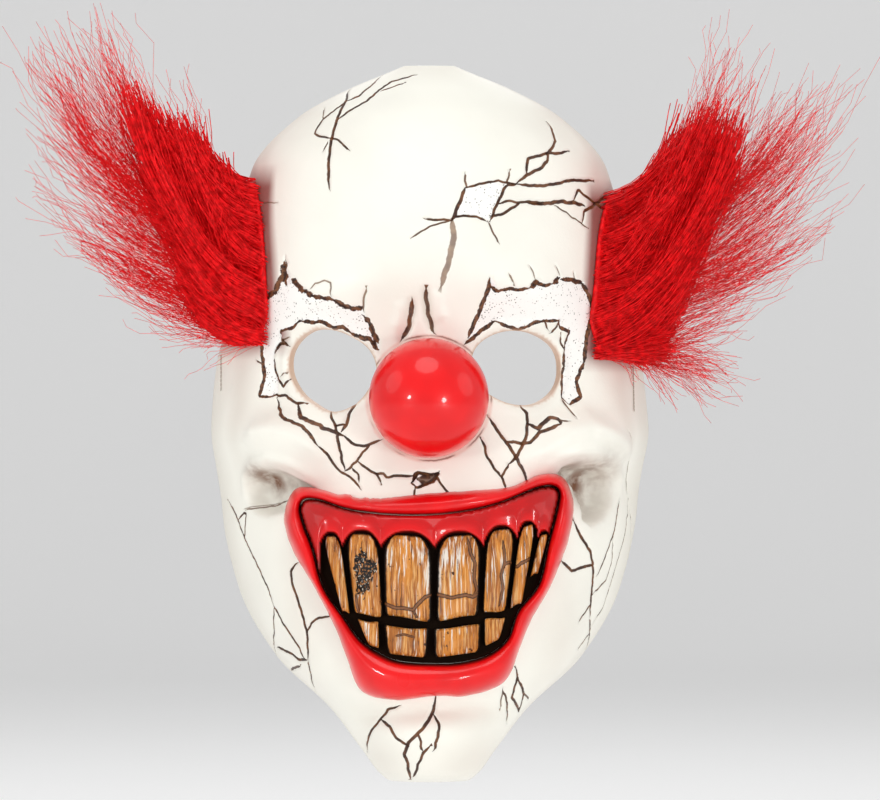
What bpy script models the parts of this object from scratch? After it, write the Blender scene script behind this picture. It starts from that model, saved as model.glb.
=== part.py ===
"""Clown mask: a thin moulded face with a ball nose, lips, gum, teeth, two fur tufts and a head strap.

Metres, +Z up. The face looks towards -Y and +X is to the right as one looks at it. The origin is on the
inner side of the nose bridge, at the height of the eyes.
"""

from collections import namedtuple
from math import asin, cos, exp, hypot, pi, radians, sin

import bmesh
import bpy
from mathutils import Vector

# Face shell
FACE_WIDTH = 0.1566
TOP_RISE = 0.1092
CHIN_DROP = 0.1444
FACE_DEPTH = 0.0800
WALL = 0.0022
SIDE_TURN = radians(78)
FACE_COLUMNS = 28
FACE_ROWS = 40

# Clearance between touching pieces, and how far a piece is sunk before it is trimmed to its clearance
SEAT_GAP = 0.0004
TRIM_DEPTH = 0.0010
CLEARANCE_DEPTH = 0.0080

# Eye openings
EYE_WIDTH = 0.0300
EYE_HEIGHT = 0.0262
LEFT_EYE_X = -0.0335
RIGHT_EYE_X = 0.0305
EYE_Z = 0.0005

# Ball nose
NOSE_RADIUS = 0.0208
NOSE_WALL = 0.0020
NOSE_Z = -0.0098
NOSE_STAND_OFF = 0.0130
NOSE_HOLE_RADIUS = 0.0132

# Mouth
MOUTH_WIDTH = 0.1015
MOUTH_HEIGHT = 0.0777
MOUTH_Z = -0.0754
LIP_RISE = 0.0085
GUM_THICKNESS = 0.0014
TOOTH_THICKNESS = 0.0046

# Fur tufts
TUFT_REACH = 0.0980
TUFT_HALF_HEIGHT = 0.0280
TUFT_HALF_WIDTH = 0.0110
TUFT_HALF_DEPTH = 0.0150
TUFT_SUNK = 0.0030
TUFT_LOW_TURN = 0.72
TUFT_HIGH_TURN = 0.90
LOCK_RADIUS = 0.0092
LEFT_TUFT_Z = 0.0390
RIGHT_TUFT_Z = 0.0340

# Head strap
STRAP_WIDTH = 0.0120
STRAP_THICKNESS = 0.0012
STRAP_TAB = 0.0140
STRAP_LEAD = 0.0060
STRAP_Z = -0.0040
STRAP_DROP = 0.0260
HEAD_LENGTH = 0.1900
STRAP_STEPS = 40

# A row for each level of the face: height as a share of TOP_RISE above the eyes or CHIN_DROP below them,
# half_width of FACE_WIDTH / 2, front (the middle line) and rim (the side edges) of FACE_DEPTH.
Section = namedtuple("Section", "height half_width front rim")
SECTIONS = (
    Section(1.000, 0.110, 0.460, 0.480),
    Section(0.975, 0.195, 0.400, 0.490),
    Section(0.925, 0.368, 0.300, 0.520),
    Section(0.835, 0.599, 0.160, 0.570),
    Section(0.670, 0.814, 0.020, 0.640),
    Section(0.370, 0.908, -0.075, 0.690),
    Section(0.180, 0.930, -0.060, 0.700),
    Section(0.020, 0.985, -0.030, 0.705),
    Section(-0.080, 1.000, -0.060, 0.700),
    Section(-0.335, 0.962, -0.185, 0.640),
    Section(-0.540, 0.874, -0.255, 0.540),
    Section(-0.705, 0.695, -0.275, 0.400),
    Section(-0.830, 0.440, -0.235, 0.230),
    Section(-0.925, 0.288, -0.215, 0.100),
    Section(-0.975, 0.225, -0.160, 0.080),
    Section(-0.996, 0.180, -0.060, 0.070),
    Section(-1.000, 0.160, 0.040, 0.080),
)

# Broad forms of the face: across is a share of FACE_WIDTH / 2, up of TOP_RISE or CHIN_DROP, wide and tall
# likewise, rise of FACE_DEPTH (below zero for a hollow), and turn tips the form, in degrees.
Form = namedtuple("Form", "across up wide tall turn rise")
FORMS = (
    Form(-0.43, 0.26, 0.27, 0.075, 12, 0.060),
    Form(0.43, 0.28, 0.25, 0.075, -12, 0.060),
    Form(-0.42, 0.00, 0.25, 0.16, 0, -0.050),
    Form(0.40, 0.00, 0.25, 0.16, 0, -0.050),
    Form(0.00, 0.18, 0.10, 0.12, 0, -0.030),
    Form(-0.66, -0.17, 0.24, 0.065, -6, 0.090),
    Form(0.69, -0.17, 0.24, 0.065, 6, 0.090),
    Form(-0.64, -0.30, 0.20, 0.055, 8, -0.075),
    Form(0.66, -0.28, 0.18, 0.055, -8, -0.080),
    Form(-0.01, -0.87, 0.24, 0.080, 0, 0.070),
    Form(0.00, 0.62, 0.55, 0.22, 0, 0.025),
)

# The edge of each eye opening by direction, in degrees from the right, as shares of its half sizes.
EyeEdge = namedtuple("EyeEdge", "turn left right")
EYE_EDGE = (
    EyeEdge(0, 0.96, 1.00),
    EyeEdge(30, 0.93, 1.02),
    EyeEdge(60, 0.90, 0.98),
    EyeEdge(90, 0.98, 0.97),
    EyeEdge(120, 1.08, 1.00),
    EyeEdge(150, 1.06, 1.04),
    EyeEdge(180, 1.00, 0.98),
    EyeEdge(210, 0.96, 0.90),
    EyeEdge(240, 0.98, 0.88),
    EyeEdge(270, 1.10, 0.92),
    EyeEdge(300, 1.02, 1.00),
    EyeEdge(330, 0.94, 1.02),
)

# Sections of the lips, clockwise from the top: the outer and the inner edge, across as a share of
# MOUTH_WIDTH / 2, up of MOUTH_HEIGHT / 2, and how full the lip is there as a share of LIP_RISE.
LipSection = namedtuple("LipSection", "outer_across outer_up inner_across inner_up full")
LIP_SECTIONS = (
    LipSection(0.03, 0.84, 0.03, 0.65, 0.62),
    LipSection(0.29, 0.86, 0.29, 0.69, 0.62),
    LipSection(0.55, 0.89, 0.50, 0.76, 0.66),
    LipSection(0.78, 1.00, 0.74, 0.88, 0.72),
    LipSection(0.93, 0.97, 0.86, 0.89, 0.80),
    LipSection(1.00, 0.77, 0.90, 0.81, 0.90),
    LipSection(0.99, 0.56, 0.87, 0.62, 0.95),
    LipSection(0.93, 0.28, 0.82, 0.38, 0.95),
    LipSection(0.82, -0.04, 0.755, 0.02, 0.88),
    LipSection(0.71, -0.28, 0.61, -0.22, 0.84),
    LipSection(0.63, -0.52, 0.54, -0.46, 0.86),
    LipSection(0.52, -0.84, 0.40, -0.60, 0.96),
    LipSection(0.28, -0.96, 0.22, -0.66, 1.00),
    LipSection(0.03, -0.96, 0.03, -0.67, 0.98),
    LipSection(-0.23, -1.00, -0.20, -0.65, 1.00),
    LipSection(-0.46, -0.93, -0.34, -0.58, 0.96),
    LipSection(-0.56, -0.64, -0.475, -0.46, 0.86),
    LipSection(-0.64, -0.37, -0.585, -0.27, 0.84),
    LipSection(-0.80, 0.02, -0.727, 0.00, 0.88),
    LipSection(-0.91, 0.24, -0.80, 0.34, 0.95),
    LipSection(-0.99, 0.48, -0.86, 0.54, 0.95),
    LipSection(-1.00, 0.68, -0.89, 0.68, 0.90),
    LipSection(-0.93, 0.86, -0.86, 0.77, 0.80),
    LipSection(-0.80, 0.88, -0.75, 0.77, 0.68),
    LipSection(-0.54, 0.80, -0.54, 0.69, 0.62),
    LipSection(-0.26, 0.80, -0.26, 0.65, 0.62),
)

# A row for each tooth: the middle of its free edge and of its root across the mouth as shares of
# MOUTH_WIDTH / 2, its free edge and its root as shares of MOUTH_HEIGHT / 2, its width as a share of
# MOUTH_WIDTH, and how much it narrows to its root.
Tooth = namedtuple("Tooth", "edge_across root_across edge_up root_up width taper")
UPPER_TEETH = (
    Tooth(-0.588, -0.690, -0.180, 0.463, 0.053, 0.9),
    Tooth(-0.418, -0.489, -0.248, 0.489, 0.098, 0.8),
    Tooth(-0.143, -0.172, -0.292, 0.507, 0.152, 0.8),
    Tooth(0.204, 0.226, -0.266, 0.500, 0.140, 0.8),
    Tooth(0.432, 0.503, -0.217, 0.540, 0.081, 0.8),
    Tooth(0.581, 0.693, -0.165, 0.565, 0.050, 0.8),
    Tooth(0.752, 0.795, 0.190, 0.480, 0.025, 0.6),
)
LOWER_TEETH = (
    Tooth(-0.415, -0.382, -0.310, -0.500, 0.060, 0.3),
    Tooth(-0.153, -0.153, -0.345, -0.595, 0.140, 0.2),
    Tooth(0.197, 0.190, -0.330, -0.590, 0.146, 0.2),
    Tooth(0.428, 0.401, -0.275, -0.488, 0.054, 0.3),
)

# How wide and how thick a tooth is from its free edge to its root, as shares of its width and of
# TOOTH_THICKNESS.
ToothSection = namedtuple("ToothSection", "along wide thick")
TOOTH_SECTIONS = (
    ToothSection(0.00, 0.90, 0.55),
    ToothSection(0.06, 1.00, 0.85),
    ToothSection(0.45, 0.98, 1.00),
    ToothSection(0.78, 0.88, 0.90),
    ToothSection(0.95, 0.62, 0.66),
    ToothSection(1.00, 0.36, 0.42),
)
TOOTH_EDGE_POINTS = 5

# Locks of each tuft: root runs from -1 at the bottom of the root mass to 1 at its top, turn is the way to the
# tip in degrees above straight out, reach is a share of TUFT_REACH, thick of LOCK_RADIUS, back leans the
# tip from -1, forwards, to 1, backwards, and curl bows the lock.
Lock = namedtuple("Lock", "root turn reach thick back curl")
LEFT_LOCKS = (
    Lock(-0.9, -60, 0.20, 0.8, 0.0, -0.10),
    Lock(-0.6, -24, 0.36, 0.7, 0.4, -0.10),
    Lock(-0.4, 0, 0.60, 0.5, -0.3, 0.10),
    Lock(-0.2, 16, 0.46, 1.0, 0.4, 0.12),
    Lock(0.0, 22, 0.80, 0.5, -0.2, 0.16),
    Lock(0.3, 36, 0.56, 1.2, -0.4, 0.12),
    Lock(0.5, 36, 0.92, 0.5, 0.4, 0.12),
    Lock(0.6, 46, 0.68, 1.2, 0.3, 0.08),
    Lock(0.8, 44, 0.98, 0.6, -0.2, 0.06),
    Lock(0.8, 54, 0.74, 1.3, -0.3, 0.04),
    Lock(0.9, 60, 0.90, 0.6, 0.2, -0.06),
    Lock(1.0, 68, 0.56, 1.1, 0.3, 0.02),
)
RIGHT_LOCKS = (
    Lock(-1.0, -70, 0.32, 0.8, -0.1, -0.06),
    Lock(-0.9, -48, 0.56, 0.5, 0.2, -0.16),
    Lock(-0.6, -16, 0.50, 0.7, -0.2, 0.10),
    Lock(-0.4, 10, 0.46, 1.0, 0.4, 0.10),
    Lock(-0.1, 18, 0.84, 0.5, -0.1, 0.16),
    Lock(0.3, 34, 0.56, 1.2, -0.4, 0.10),
    Lock(0.5, 38, 1.04, 0.5, 0.3, 0.10),
    Lock(0.6, 46, 0.68, 1.2, 0.3, 0.08),
    Lock(0.8, 50, 0.94, 0.6, -0.3, 0.06),
    Lock(0.8, 54, 0.72, 1.3, -0.2, 0.04),
    Lock(0.9, 62, 0.92, 0.6, 0.2, -0.06),
    Lock(1.0, 68, 0.60, 1.1, 0.3, 0.02),
)
LOCK_STEPS = 5

# Colours as linear red, green and blue
IVORY = (0.88, 0.84, 0.76)
LIP_RED = (0.62, 0.01, 0.01)
GUM_RED = (0.33, 0.02, 0.02)
TOOTH_AMBER = (0.50, 0.24, 0.07)
FUR_RED = (0.55, 0.01, 0.01)
ELASTIC_BLACK = (0.02, 0.02, 0.02)


def smooth_value(places, values, place):
    """The value at a place between given ones, on a smooth curve that never overshoots them."""
    count = len(places)
    if place <= places[0]:
        return values[0]
    if place >= places[-1]:
        return values[-1]
    slopes = [(values[i + 1] - values[i]) / (places[i + 1] - places[i]) for i in range(count - 1)]
    i = next(k for k in range(count - 1) if place <= places[k + 1])

    def tangent(k):
        if k == 0:
            return slopes[0]
        if k == count - 1:
            return slopes[-1]
        before, after = slopes[k - 1], slopes[k]
        return 0.0 if before * after <= 0 else 2 * before * after / (before + after)

    step = places[i + 1] - places[i]
    s = (place - places[i]) / step
    return (
        values[i] * (1 + 2 * s) * (1 - s) ** 2
        + tangent(i) * step * s * (1 - s) ** 2
        + values[i + 1] * s * s * (3 - 2 * s)
        - tangent(i + 1) * step * s * s * (1 - s)
    )


def height_of(share):
    """The height of a share above or below the eyes."""
    return share * (TOP_RISE if share > 0 else CHIN_DROP)


class Face:
    """The outer surface of the face. A point of it has a turn, the angle round from the middle line, and a
    run, the way down the middle line from the top edge."""

    def __init__(self):
        self.heights = [height_of(s.height) for s in SECTIONS]
        self.fronts = [s.front * FACE_DEPTH for s in SECTIONS]
        self.rims = [s.rim * FACE_DEPTH for s in SECTIONS]
        self.half_widths = [s.half_width * FACE_WIDTH / 2 for s in SECTIONS]
        self.runs = [0.0]
        for i in range(1, len(SECTIONS)):
            step = hypot(self.heights[i] - self.heights[i - 1], self.fronts[i] - self.fronts[i - 1])
            self.runs.append(self.runs[-1] + step)
        self.length = self.runs[-1]

    def level(self, run):
        """Height, half width, front and rim at a run."""
        columns = (self.heights, self.half_widths, self.fronts, self.rims)
        return [smooth_value(self.runs, column, run) for column in columns]

    def rise(self, x, z):
        """How far the broad forms lift the surface."""
        lift = 0.0
        for form in FORMS:
            across = x - form.across * FACE_WIDTH / 2
            up = z - height_of(form.up)
            turn = radians(form.turn)
            u = (across * cos(turn) + up * sin(turn)) / (form.wide * FACE_WIDTH / 2)
            v = (up * cos(turn) - across * sin(turn)) / (form.tall * CHIN_DROP)
            lift += form.rise * FACE_DEPTH * exp(-u * u - v * v)
        return lift

    def point(self, turn, run, lift=0.0):
        """A point of the surface, or one that stands off it by lift."""
        z, half_width, front, rim = self.level(run)
        x = half_width * sin(turn) / sin(SIDE_TURN)
        y = front + (rim - front) * (1 - cos(turn)) / (1 - cos(SIDE_TURN))
        lift += self.rise(x, z)
        return Vector((x + lift * sin(turn), y - lift * cos(turn), z))

    def place(self, x, z):
        """The turn and the run of the point that lies at x and z as seen from the front."""
        low, high = 0.0, self.length
        for _ in range(40):
            middle = (low + high) / 2
            low, high = (middle, high) if self.level(middle)[0] > z else (low, middle)
        run = (low + high) / 2
        half_width = self.level(run)[1]
        aim = x
        for _ in range(6):
            turn = asin(max(-1.0, min(1.0, aim * sin(SIDE_TURN) / half_width)))
            aim += x - self.point(turn, run).x
        return turn, run

    def over(self, x, z, lift):
        """A point that stands off the surface by lift and lies at x and z as seen from the front."""
        turn, run = self.place(x, z)
        return self.point(turn, run, lift) if lift == 0 else self._straight(x, turn, run, lift)

    def _straight(self, x, turn, run, lift):
        point = self.point(turn, run, lift)
        for _ in range(4):
            turn += (x - point.x) / (self.level(run)[1] / sin(SIDE_TURN))
            point = self.point(turn, run, lift)
        return point


FACE = Face()


def collection(name):
    """A new collection in the scene."""
    made = bpy.data.collections.new(name)
    bpy.context.scene.collection.children.link(made)
    return made


def finish(name, colour, roughness, coat=0.0):
    """A Principled material."""
    material = bpy.data.materials.new(name)
    material.use_nodes = True
    shader = material.node_tree.nodes["Principled BSDF"]
    shader.inputs["Base Color"].default_value = (*colour, 1.0)
    shader.inputs["Roughness"].default_value = roughness
    shader.inputs["Metallic"].default_value = 0.0
    shader.inputs["Coat Weight"].default_value = coat
    return material


def add_object(name, mesh, group, material=None):
    """An object for a mesh, shaded smooth up to a sharp bend."""
    piece = bpy.data.objects.new(name, mesh)
    group.objects.link(piece)
    if material:
        mesh.materials.append(material)
    mesh.shade_smooth()
    mesh.set_sharp_from_angle(angle=radians(50))
    return piece


def as_cutter(piece):
    """Keeps a cutter out of the model."""
    piece.hide_render = True
    piece.display_type = "WIRE"
    return piece


def add_boolean(piece, operation, other):
    """A Boolean modifier with another object or with each object of a collection."""
    modifier = piece.modifiers.new(f"{operation.lower()}_{other.name}", "BOOLEAN")
    modifier.operation = operation
    modifier.solver = "EXACT"
    if isinstance(other, bpy.types.Collection):
        modifier.operand_type = "COLLECTION"
        modifier.collection = other
    else:
        modifier.object = other
    return modifier


def mesh_from_loops(name, loops, cap_ends=False, join_ends=False):
    """A mesh lofted through closed loops of points, whose faces point out after a recalculation."""
    bm = bmesh.new()
    rings = [[bm.verts.new(p) for p in loop] for loop in loops]
    pairs = list(zip(rings, rings[1:]))
    if join_ends:
        pairs.append((rings[-1], rings[0]))
    for first, second in pairs:
        for i in range(len(first)):
            j = (i + 1) % len(first)
            bm.faces.new((first[i], first[j], second[j], second[i]))
    if cap_ends:
        bm.faces.new(rings[0])
        bm.faces.new(rings[-1])
    bmesh.ops.recalc_face_normals(bm, faces=bm.faces)
    mesh = bpy.data.meshes.new(name)
    bm.to_mesh(mesh)
    bm.free()
    return mesh


def row_runs(rows, close_rows=3):
    """The run of each row of the face. The rows lie twice as close near both edges."""
    close = [k / 2 for k in range(2 * close_rows)]
    places = close + list(range(close_rows, rows - 2 * close_rows + 1))
    places += [rows - 2 * close_rows + (k + 1) / 2 for k in range(2 * close_rows)]
    return [FACE.length * place / places[-1] for place in places]


def fill_grid(bm, grid):
    """Fills a grid with triangles that face out, whose slants mirror each other about the middle line."""
    columns = len(grid[0]) - 1
    for above, below in zip(grid, grid[1:]):
        for i in range(columns):
            a, b, c, d = above[i], below[i], below[i + 1], above[i + 1]
            halves = ((a, b, c), (a, c, d)) if 2 * i < columns else ((a, b, d), (b, c, d))
            for half in halves:
                bm.faces.new(half)


def face_grid(name, lift, columns, rows):
    """The outer surface of the face as an open grid, lifted off by lift. Its faces point out."""
    bm = bmesh.new()
    grid = []
    for run in row_runs(rows):
        turns = [SIDE_TURN * (2 * i / columns - 1) for i in range(columns + 1)]
        grid.append([bm.verts.new(FACE.point(turn, run, lift)) for turn in turns])
    fill_grid(bm, grid)
    mesh = bpy.data.meshes.new(name)
    bm.to_mesh(mesh)
    bm.free()
    return mesh


def add_wall(piece, thickness):
    """Gives an open surface a wall on its inner side."""
    modifier = piece.modifiers.new("wall", "SOLIDIFY")
    modifier.thickness = thickness
    modifier.offset = -1.0
    modifier.use_even_offset = True
    modifier.use_quality_normals = True
    return modifier


def through_cutter(name, outline, group):
    """A prism along Y through the whole mask, from an outline of x and z."""
    near, far = -FACE_DEPTH, FACE_DEPTH
    loops = [[Vector((x, y, z)) for x, z in outline] for y in (near, far)]
    return as_cutter(add_object(name, mesh_from_loops(name, loops, cap_ends=True), group))


def eye_outline(centre_x, side, spare=0.0):
    """The edge of an eye opening, side being the column of EYE_EDGE."""
    turns = [row.turn for row in EYE_EDGE] + [360]
    shares = [getattr(row, side) for row in EYE_EDGE]
    shares.append(shares[0])
    outline = []
    for k in range(24):
        turn = 360 * k / 24
        share = smooth_value(turns, shares, turn)
        x = centre_x + (share * EYE_WIDTH / 2 + spare) * cos(radians(turn))
        z = EYE_Z + (share * EYE_HEIGHT / 2 + spare) * sin(radians(turn))
        outline.append((x, z))
    return outline


def add_face_shell(group, cutters, material):
    """The hollow face with its eye openings and the hole behind the nose."""
    mesh = face_grid("face_shell", 0.0, FACE_COLUMNS, FACE_ROWS)
    shell = add_object("face_shell", mesh, group, material)
    add_wall(shell, WALL)
    eyes = (("left_eye_cutter", LEFT_EYE_X, "left"), ("right_eye_cutter", RIGHT_EYE_X, "right"))
    for name, centre_x, side in eyes:
        add_boolean(shell, "DIFFERENCE", through_cutter(name, eye_outline(centre_x, side), cutters))
    circle = [2 * pi * k / 24 for k in range(24)]
    hole = [(NOSE_HOLE_RADIUS * cos(a), NOSE_Z + NOSE_HOLE_RADIUS * sin(a)) for a in circle]
    add_boolean(shell, "DIFFERENCE", through_cutter("nose_hole_cutter", hole, cutters))
    return shell


def nose_centre():
    """The middle of the ball nose, which stands off the face."""
    seat = FACE.over(0.0, NOSE_Z, 0.0)
    return Vector((0.0, seat.y - NOSE_STAND_OFF, NOSE_Z))


def seat_angle(centre, radius, around):
    """How far a meridian of the ball runs from its front pole before it meets the face."""
    low, high = pi / 2, pi * 0.95
    for _ in range(40):
        middle = (low + high) / 2
        x = centre.x + radius * sin(middle) * cos(around)
        z = centre.z + radius * sin(middle) * sin(around)
        y = centre.y - radius * cos(middle)
        clear = y < FACE.over(x, z, SEAT_GAP).y
        low, high = (middle, high) if clear else (low, middle)
    return low


def add_nose_ball(group, material):
    """The hollow ball, open at the back, whose edge follows the face all round."""
    centre = nose_centre()
    sides, rings = 24, 8
    turns = [2 * pi * k / sides for k in range(sides)]
    loops = []
    for radius, steps in ((NOSE_RADIUS, range(1, rings + 1)), (NOSE_RADIUS - NOSE_WALL, range(rings, 0, -1))):
        ends = [seat_angle(centre, radius, around) for around in turns]
        for step in steps:
            loop = []
            for around, end in zip(turns, ends):
                polar = end * step / rings
                across = radius * sin(polar)
                offset = Vector((across * cos(around), -radius * cos(polar), across * sin(around)))
                loop.append(centre + offset)
            loops.append(loop)
    mesh = mesh_from_loops("nose_ball", loops, cap_ends=True)
    return add_object("nose_ball", mesh, group, material)


def closed_curve(values, share):
    """A value on the smooth closed curve through evenly spaced ones."""
    count = len(values)
    place = share * count
    i = int(place) % count
    s = place - int(place)
    a, b, c, d = (values[(i + k) % count] for k in (-1, 0, 1, 2))
    return 0.5 * (2 * b + (c - a) * s + (2 * a - 5 * b + 4 * c - d) * s * s + (3 * b - a - 3 * c + d) * s**3)


def mouth_place(across, up):
    """x and z of a place in the mouth."""
    return across * MOUTH_WIDTH / 2, MOUTH_Z + up * MOUTH_HEIGHT / 2


def lip_sections(count):
    """The lip's sections, smoothed to a count of them."""
    columns = list(zip(*LIP_SECTIONS))
    return [LipSection(*(closed_curve(column, k / count) for column in columns)) for k in range(count)]


def add_lips(group, face_clearance, material):
    """The ring of the lips: trimmed to lie on the face, round in front."""
    loops = []
    for section in lip_sections(2 * len(LIP_SECTIONS)):
        outer = Vector(mouth_place(section.outer_across, section.outer_up))
        inner = Vector(mouth_place(section.inner_across, section.inner_up))
        rise = section.full * LIP_RISE
        shape = (
            (0.00, -TRIM_DEPTH),
            (0.50, -TRIM_DEPTH),
            (1.00, -TRIM_DEPTH),
            (0.90, 0.62 * rise),
            (0.58, rise),
            (0.14, 0.62 * rise),
        )
        loops.append([FACE.over(*outer.lerp(inner, along), lift) for along, lift in shape])
    mesh = mesh_from_loops("lips", loops, join_ends=True)
    lips = add_object("lips", mesh, group, material)
    add_boolean(lips, "DIFFERENCE", face_clearance)
    return lips


def add_gum_plate(group, cutters, face_clearance, material):
    """The gum: a thin plate trimmed to the inside of the lips and to the face."""
    columns, rows = 16, 11
    bm = bmesh.new()
    grid = []
    for j in range(rows + 1):
        line = []
        for i in range(columns + 1):
            x, z = mouth_place(2 * i / columns - 1, 1 - 1.8 * j / rows)
            line.append(bm.verts.new(FACE.over(x, z, SEAT_GAP + GUM_THICKNESS)))
        grid.append(line)
    fill_grid(bm, grid)
    mesh = bpy.data.meshes.new("gum_plate")
    bm.to_mesh(mesh)
    bm.free()
    gum = add_object("gum_plate", mesh, group, material)
    add_wall(gum, GUM_THICKNESS + TRIM_DEPTH)
    edge = []
    for section in lip_sections(2 * len(LIP_SECTIONS)):
        inner = Vector(mouth_place(section.inner_across, section.inner_up))
        outer = Vector(mouth_place(section.outer_across, section.outer_up))
        edge.append(inner + (inner - outer).normalized() * 2 * SEAT_GAP)
    add_boolean(gum, "INTERSECT", through_cutter("gum_edge_cutter", edge, cutters))
    add_boolean(gum, "DIFFERENCE", face_clearance)
    return gum


def add_tooth(name, tooth, group, material):
    """A tooth: flat on the gum, round in front, narrow at its root."""
    edge = Vector(mouth_place(tooth.edge_across, tooth.edge_up))
    root = Vector(mouth_place(tooth.root_across, tooth.root_up))
    half_width = tooth.width * MOUTH_WIDTH / 2
    base = 2 * SEAT_GAP + GUM_THICKNESS
    loops = []
    for section in TOOTH_SECTIONS:
        middle = edge.lerp(root, section.along)
        rise = section.thick * TOOTH_THICKNESS
        half = (1 - (1 - section.wide) * tooth.taper) * half_width
        loop = [FACE.over(middle.x + half * side, middle.y, base) for side in (1, 0, -1)]
        for k in range(TOOTH_EDGE_POINTS):
            around = pi - pi * k / (TOOTH_EDGE_POINTS - 1)
            side = cos(around) * (1 - 0.10 * sin(around))
            lift = base + rise * (0.35 + 0.65 * sin(around))
            loop.append(FACE.over(middle.x + half * side, middle.y, lift))
        loops.append(loop)
    mesh = mesh_from_loops(name, loops, cap_ends=True)
    return add_object(name, mesh, group, material)


def tuft_point(side, tuft_z, out, back, up):
    """A point of a root mass, whose out, back and up each run from -1 to 1. It lies on the side of the
    face, side being -1 or 1, further back at its top."""
    share = TUFT_LOW_TURN + (TUFT_HIGH_TURN - TUFT_LOW_TURN) * (up + 1) / 2
    turn = side * (SIDE_TURN * share + back * TUFT_HALF_DEPTH / (FACE_WIDTH / 2))
    _, run = FACE.place(0.0, tuft_z + up * TUFT_HALF_HEIGHT)
    return FACE.point(turn, run, TUFT_HALF_WIDTH * (1 + out) - TUFT_SUNK)


def add_lock(name, side, tuft_z, lock, group):
    """A tapering, bowed lock of fur as a closed mesh."""
    root = tuft_point(side, tuft_z, 0.0, 0.0, lock.root * 0.75)
    reach = lock.reach * TUFT_REACH
    way = Vector((side * cos(radians(lock.turn)), 0.0, sin(radians(lock.turn))))
    bow = Vector((-way.z * side, 0.0, way.x * side)) * lock.curl * reach
    lean = Vector((0.0, lock.back * TUFT_HALF_DEPTH, 0.0))
    curve = bpy.data.curves.new(name, "CURVE")
    curve.dimensions = "3D"
    curve.bevel_depth = LOCK_RADIUS * lock.thick
    curve.bevel_resolution = 1
    curve.use_fill_caps = True
    spline = curve.splines.new("POLY")
    spline.points.add(LOCK_STEPS - 1)
    for k, point in enumerate(spline.points):
        s = k / (LOCK_STEPS - 1)
        place = root + way * reach * s + bow * sin(pi * s) + lean * s
        point.co = (*place, 1.0)
        point.radius = 1.0 - 0.88 * s
    guide = bpy.data.objects.new(name, curve)
    bpy.context.scene.collection.objects.link(guide)
    shape = guide.evaluated_get(bpy.context.evaluated_depsgraph_get())
    mesh = bpy.data.meshes.new_from_object(shape)
    bpy.data.objects.remove(guide)
    bm = bmesh.new()
    bm.from_mesh(mesh)
    bmesh.ops.remove_doubles(bm, verts=bm.verts, dist=1e-6)
    bmesh.ops.recalc_face_normals(bm, faces=bm.faces)
    bm.to_mesh(mesh)
    bm.free()
    return as_cutter(add_object(name, mesh, group))


def add_tuft(name, side, tuft_z, locks, group, face_clearance, material):
    """A tuft: a root mass with its locks, cut to lie on the side of the face."""
    bm = bmesh.new()
    bmesh.ops.create_uvsphere(bm, u_segments=14, v_segments=9, radius=1.0)
    for vert in bm.verts:
        vert.co = tuft_point(side, tuft_z, *vert.co)
    bmesh.ops.recalc_face_normals(bm, faces=bm.faces)
    mesh = bpy.data.meshes.new(name)
    bm.to_mesh(mesh)
    bm.free()
    tuft = add_object(name, mesh, group, material)
    lock_group = collection(f"{name}_locks")
    for number, lock in enumerate(locks, 1):
        add_lock(f"{name}_lock_{number}", side, tuft_z, lock, lock_group)
    add_boolean(tuft, "UNION", lock_group)
    add_boolean(tuft, "DIFFERENCE", face_clearance)
    return tuft


def strap_edge(z):
    """One edge of the strap, seen from above: along the inner side of the face at both ends and round the
    back of the head between them."""
    inside = -(WALL + SEAT_GAP + STRAP_THICKNESS / 2)
    _, run = FACE.place(0.0, z)
    tab_turn = STRAP_TAB / (FACE_WIDTH / 2)
    tab = [FACE.point(SIDE_TURN - tab_turn * (1 - k / 3), run, inside) for k in range(4)]
    start = tab[-1] + (tab[-1] - tab[-2]).normalized() * STRAP_LEAD
    depth = HEAD_LENGTH - start.y
    steps = STRAP_STEPS // 2
    arc = []
    for k in range(steps + 1):
        around = pi / 2 * k / steps
        down = STRAP_DROP * sin(around) ** 2
        arc.append(Vector((start.x * cos(around), start.y + depth * sin(around), z - down)))
    right = tab + arc
    left = [Vector((-p.x, p.y, p.z)) for p in reversed(right[:-1])]
    return right + left


def add_head_strap(group, material):
    """The flat elastic band: an open strip with a wall."""
    bm = bmesh.new()
    edges = [strap_edge(STRAP_Z + side * STRAP_WIDTH / 2) for side in (-1, 1)]
    rows = [[bm.verts.new(point) for point in pair] for pair in zip(*edges)]
    for first, second in zip(rows, rows[1:]):
        bm.faces.new((first[0], second[0], second[1], first[1]))
    mesh = bpy.data.meshes.new("head_strap")
    bm.to_mesh(mesh)
    bm.free()
    strap = add_object("head_strap", mesh, group, material)
    add_wall(strap, STRAP_THICKNESS).offset = 0.0
    return strap


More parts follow.
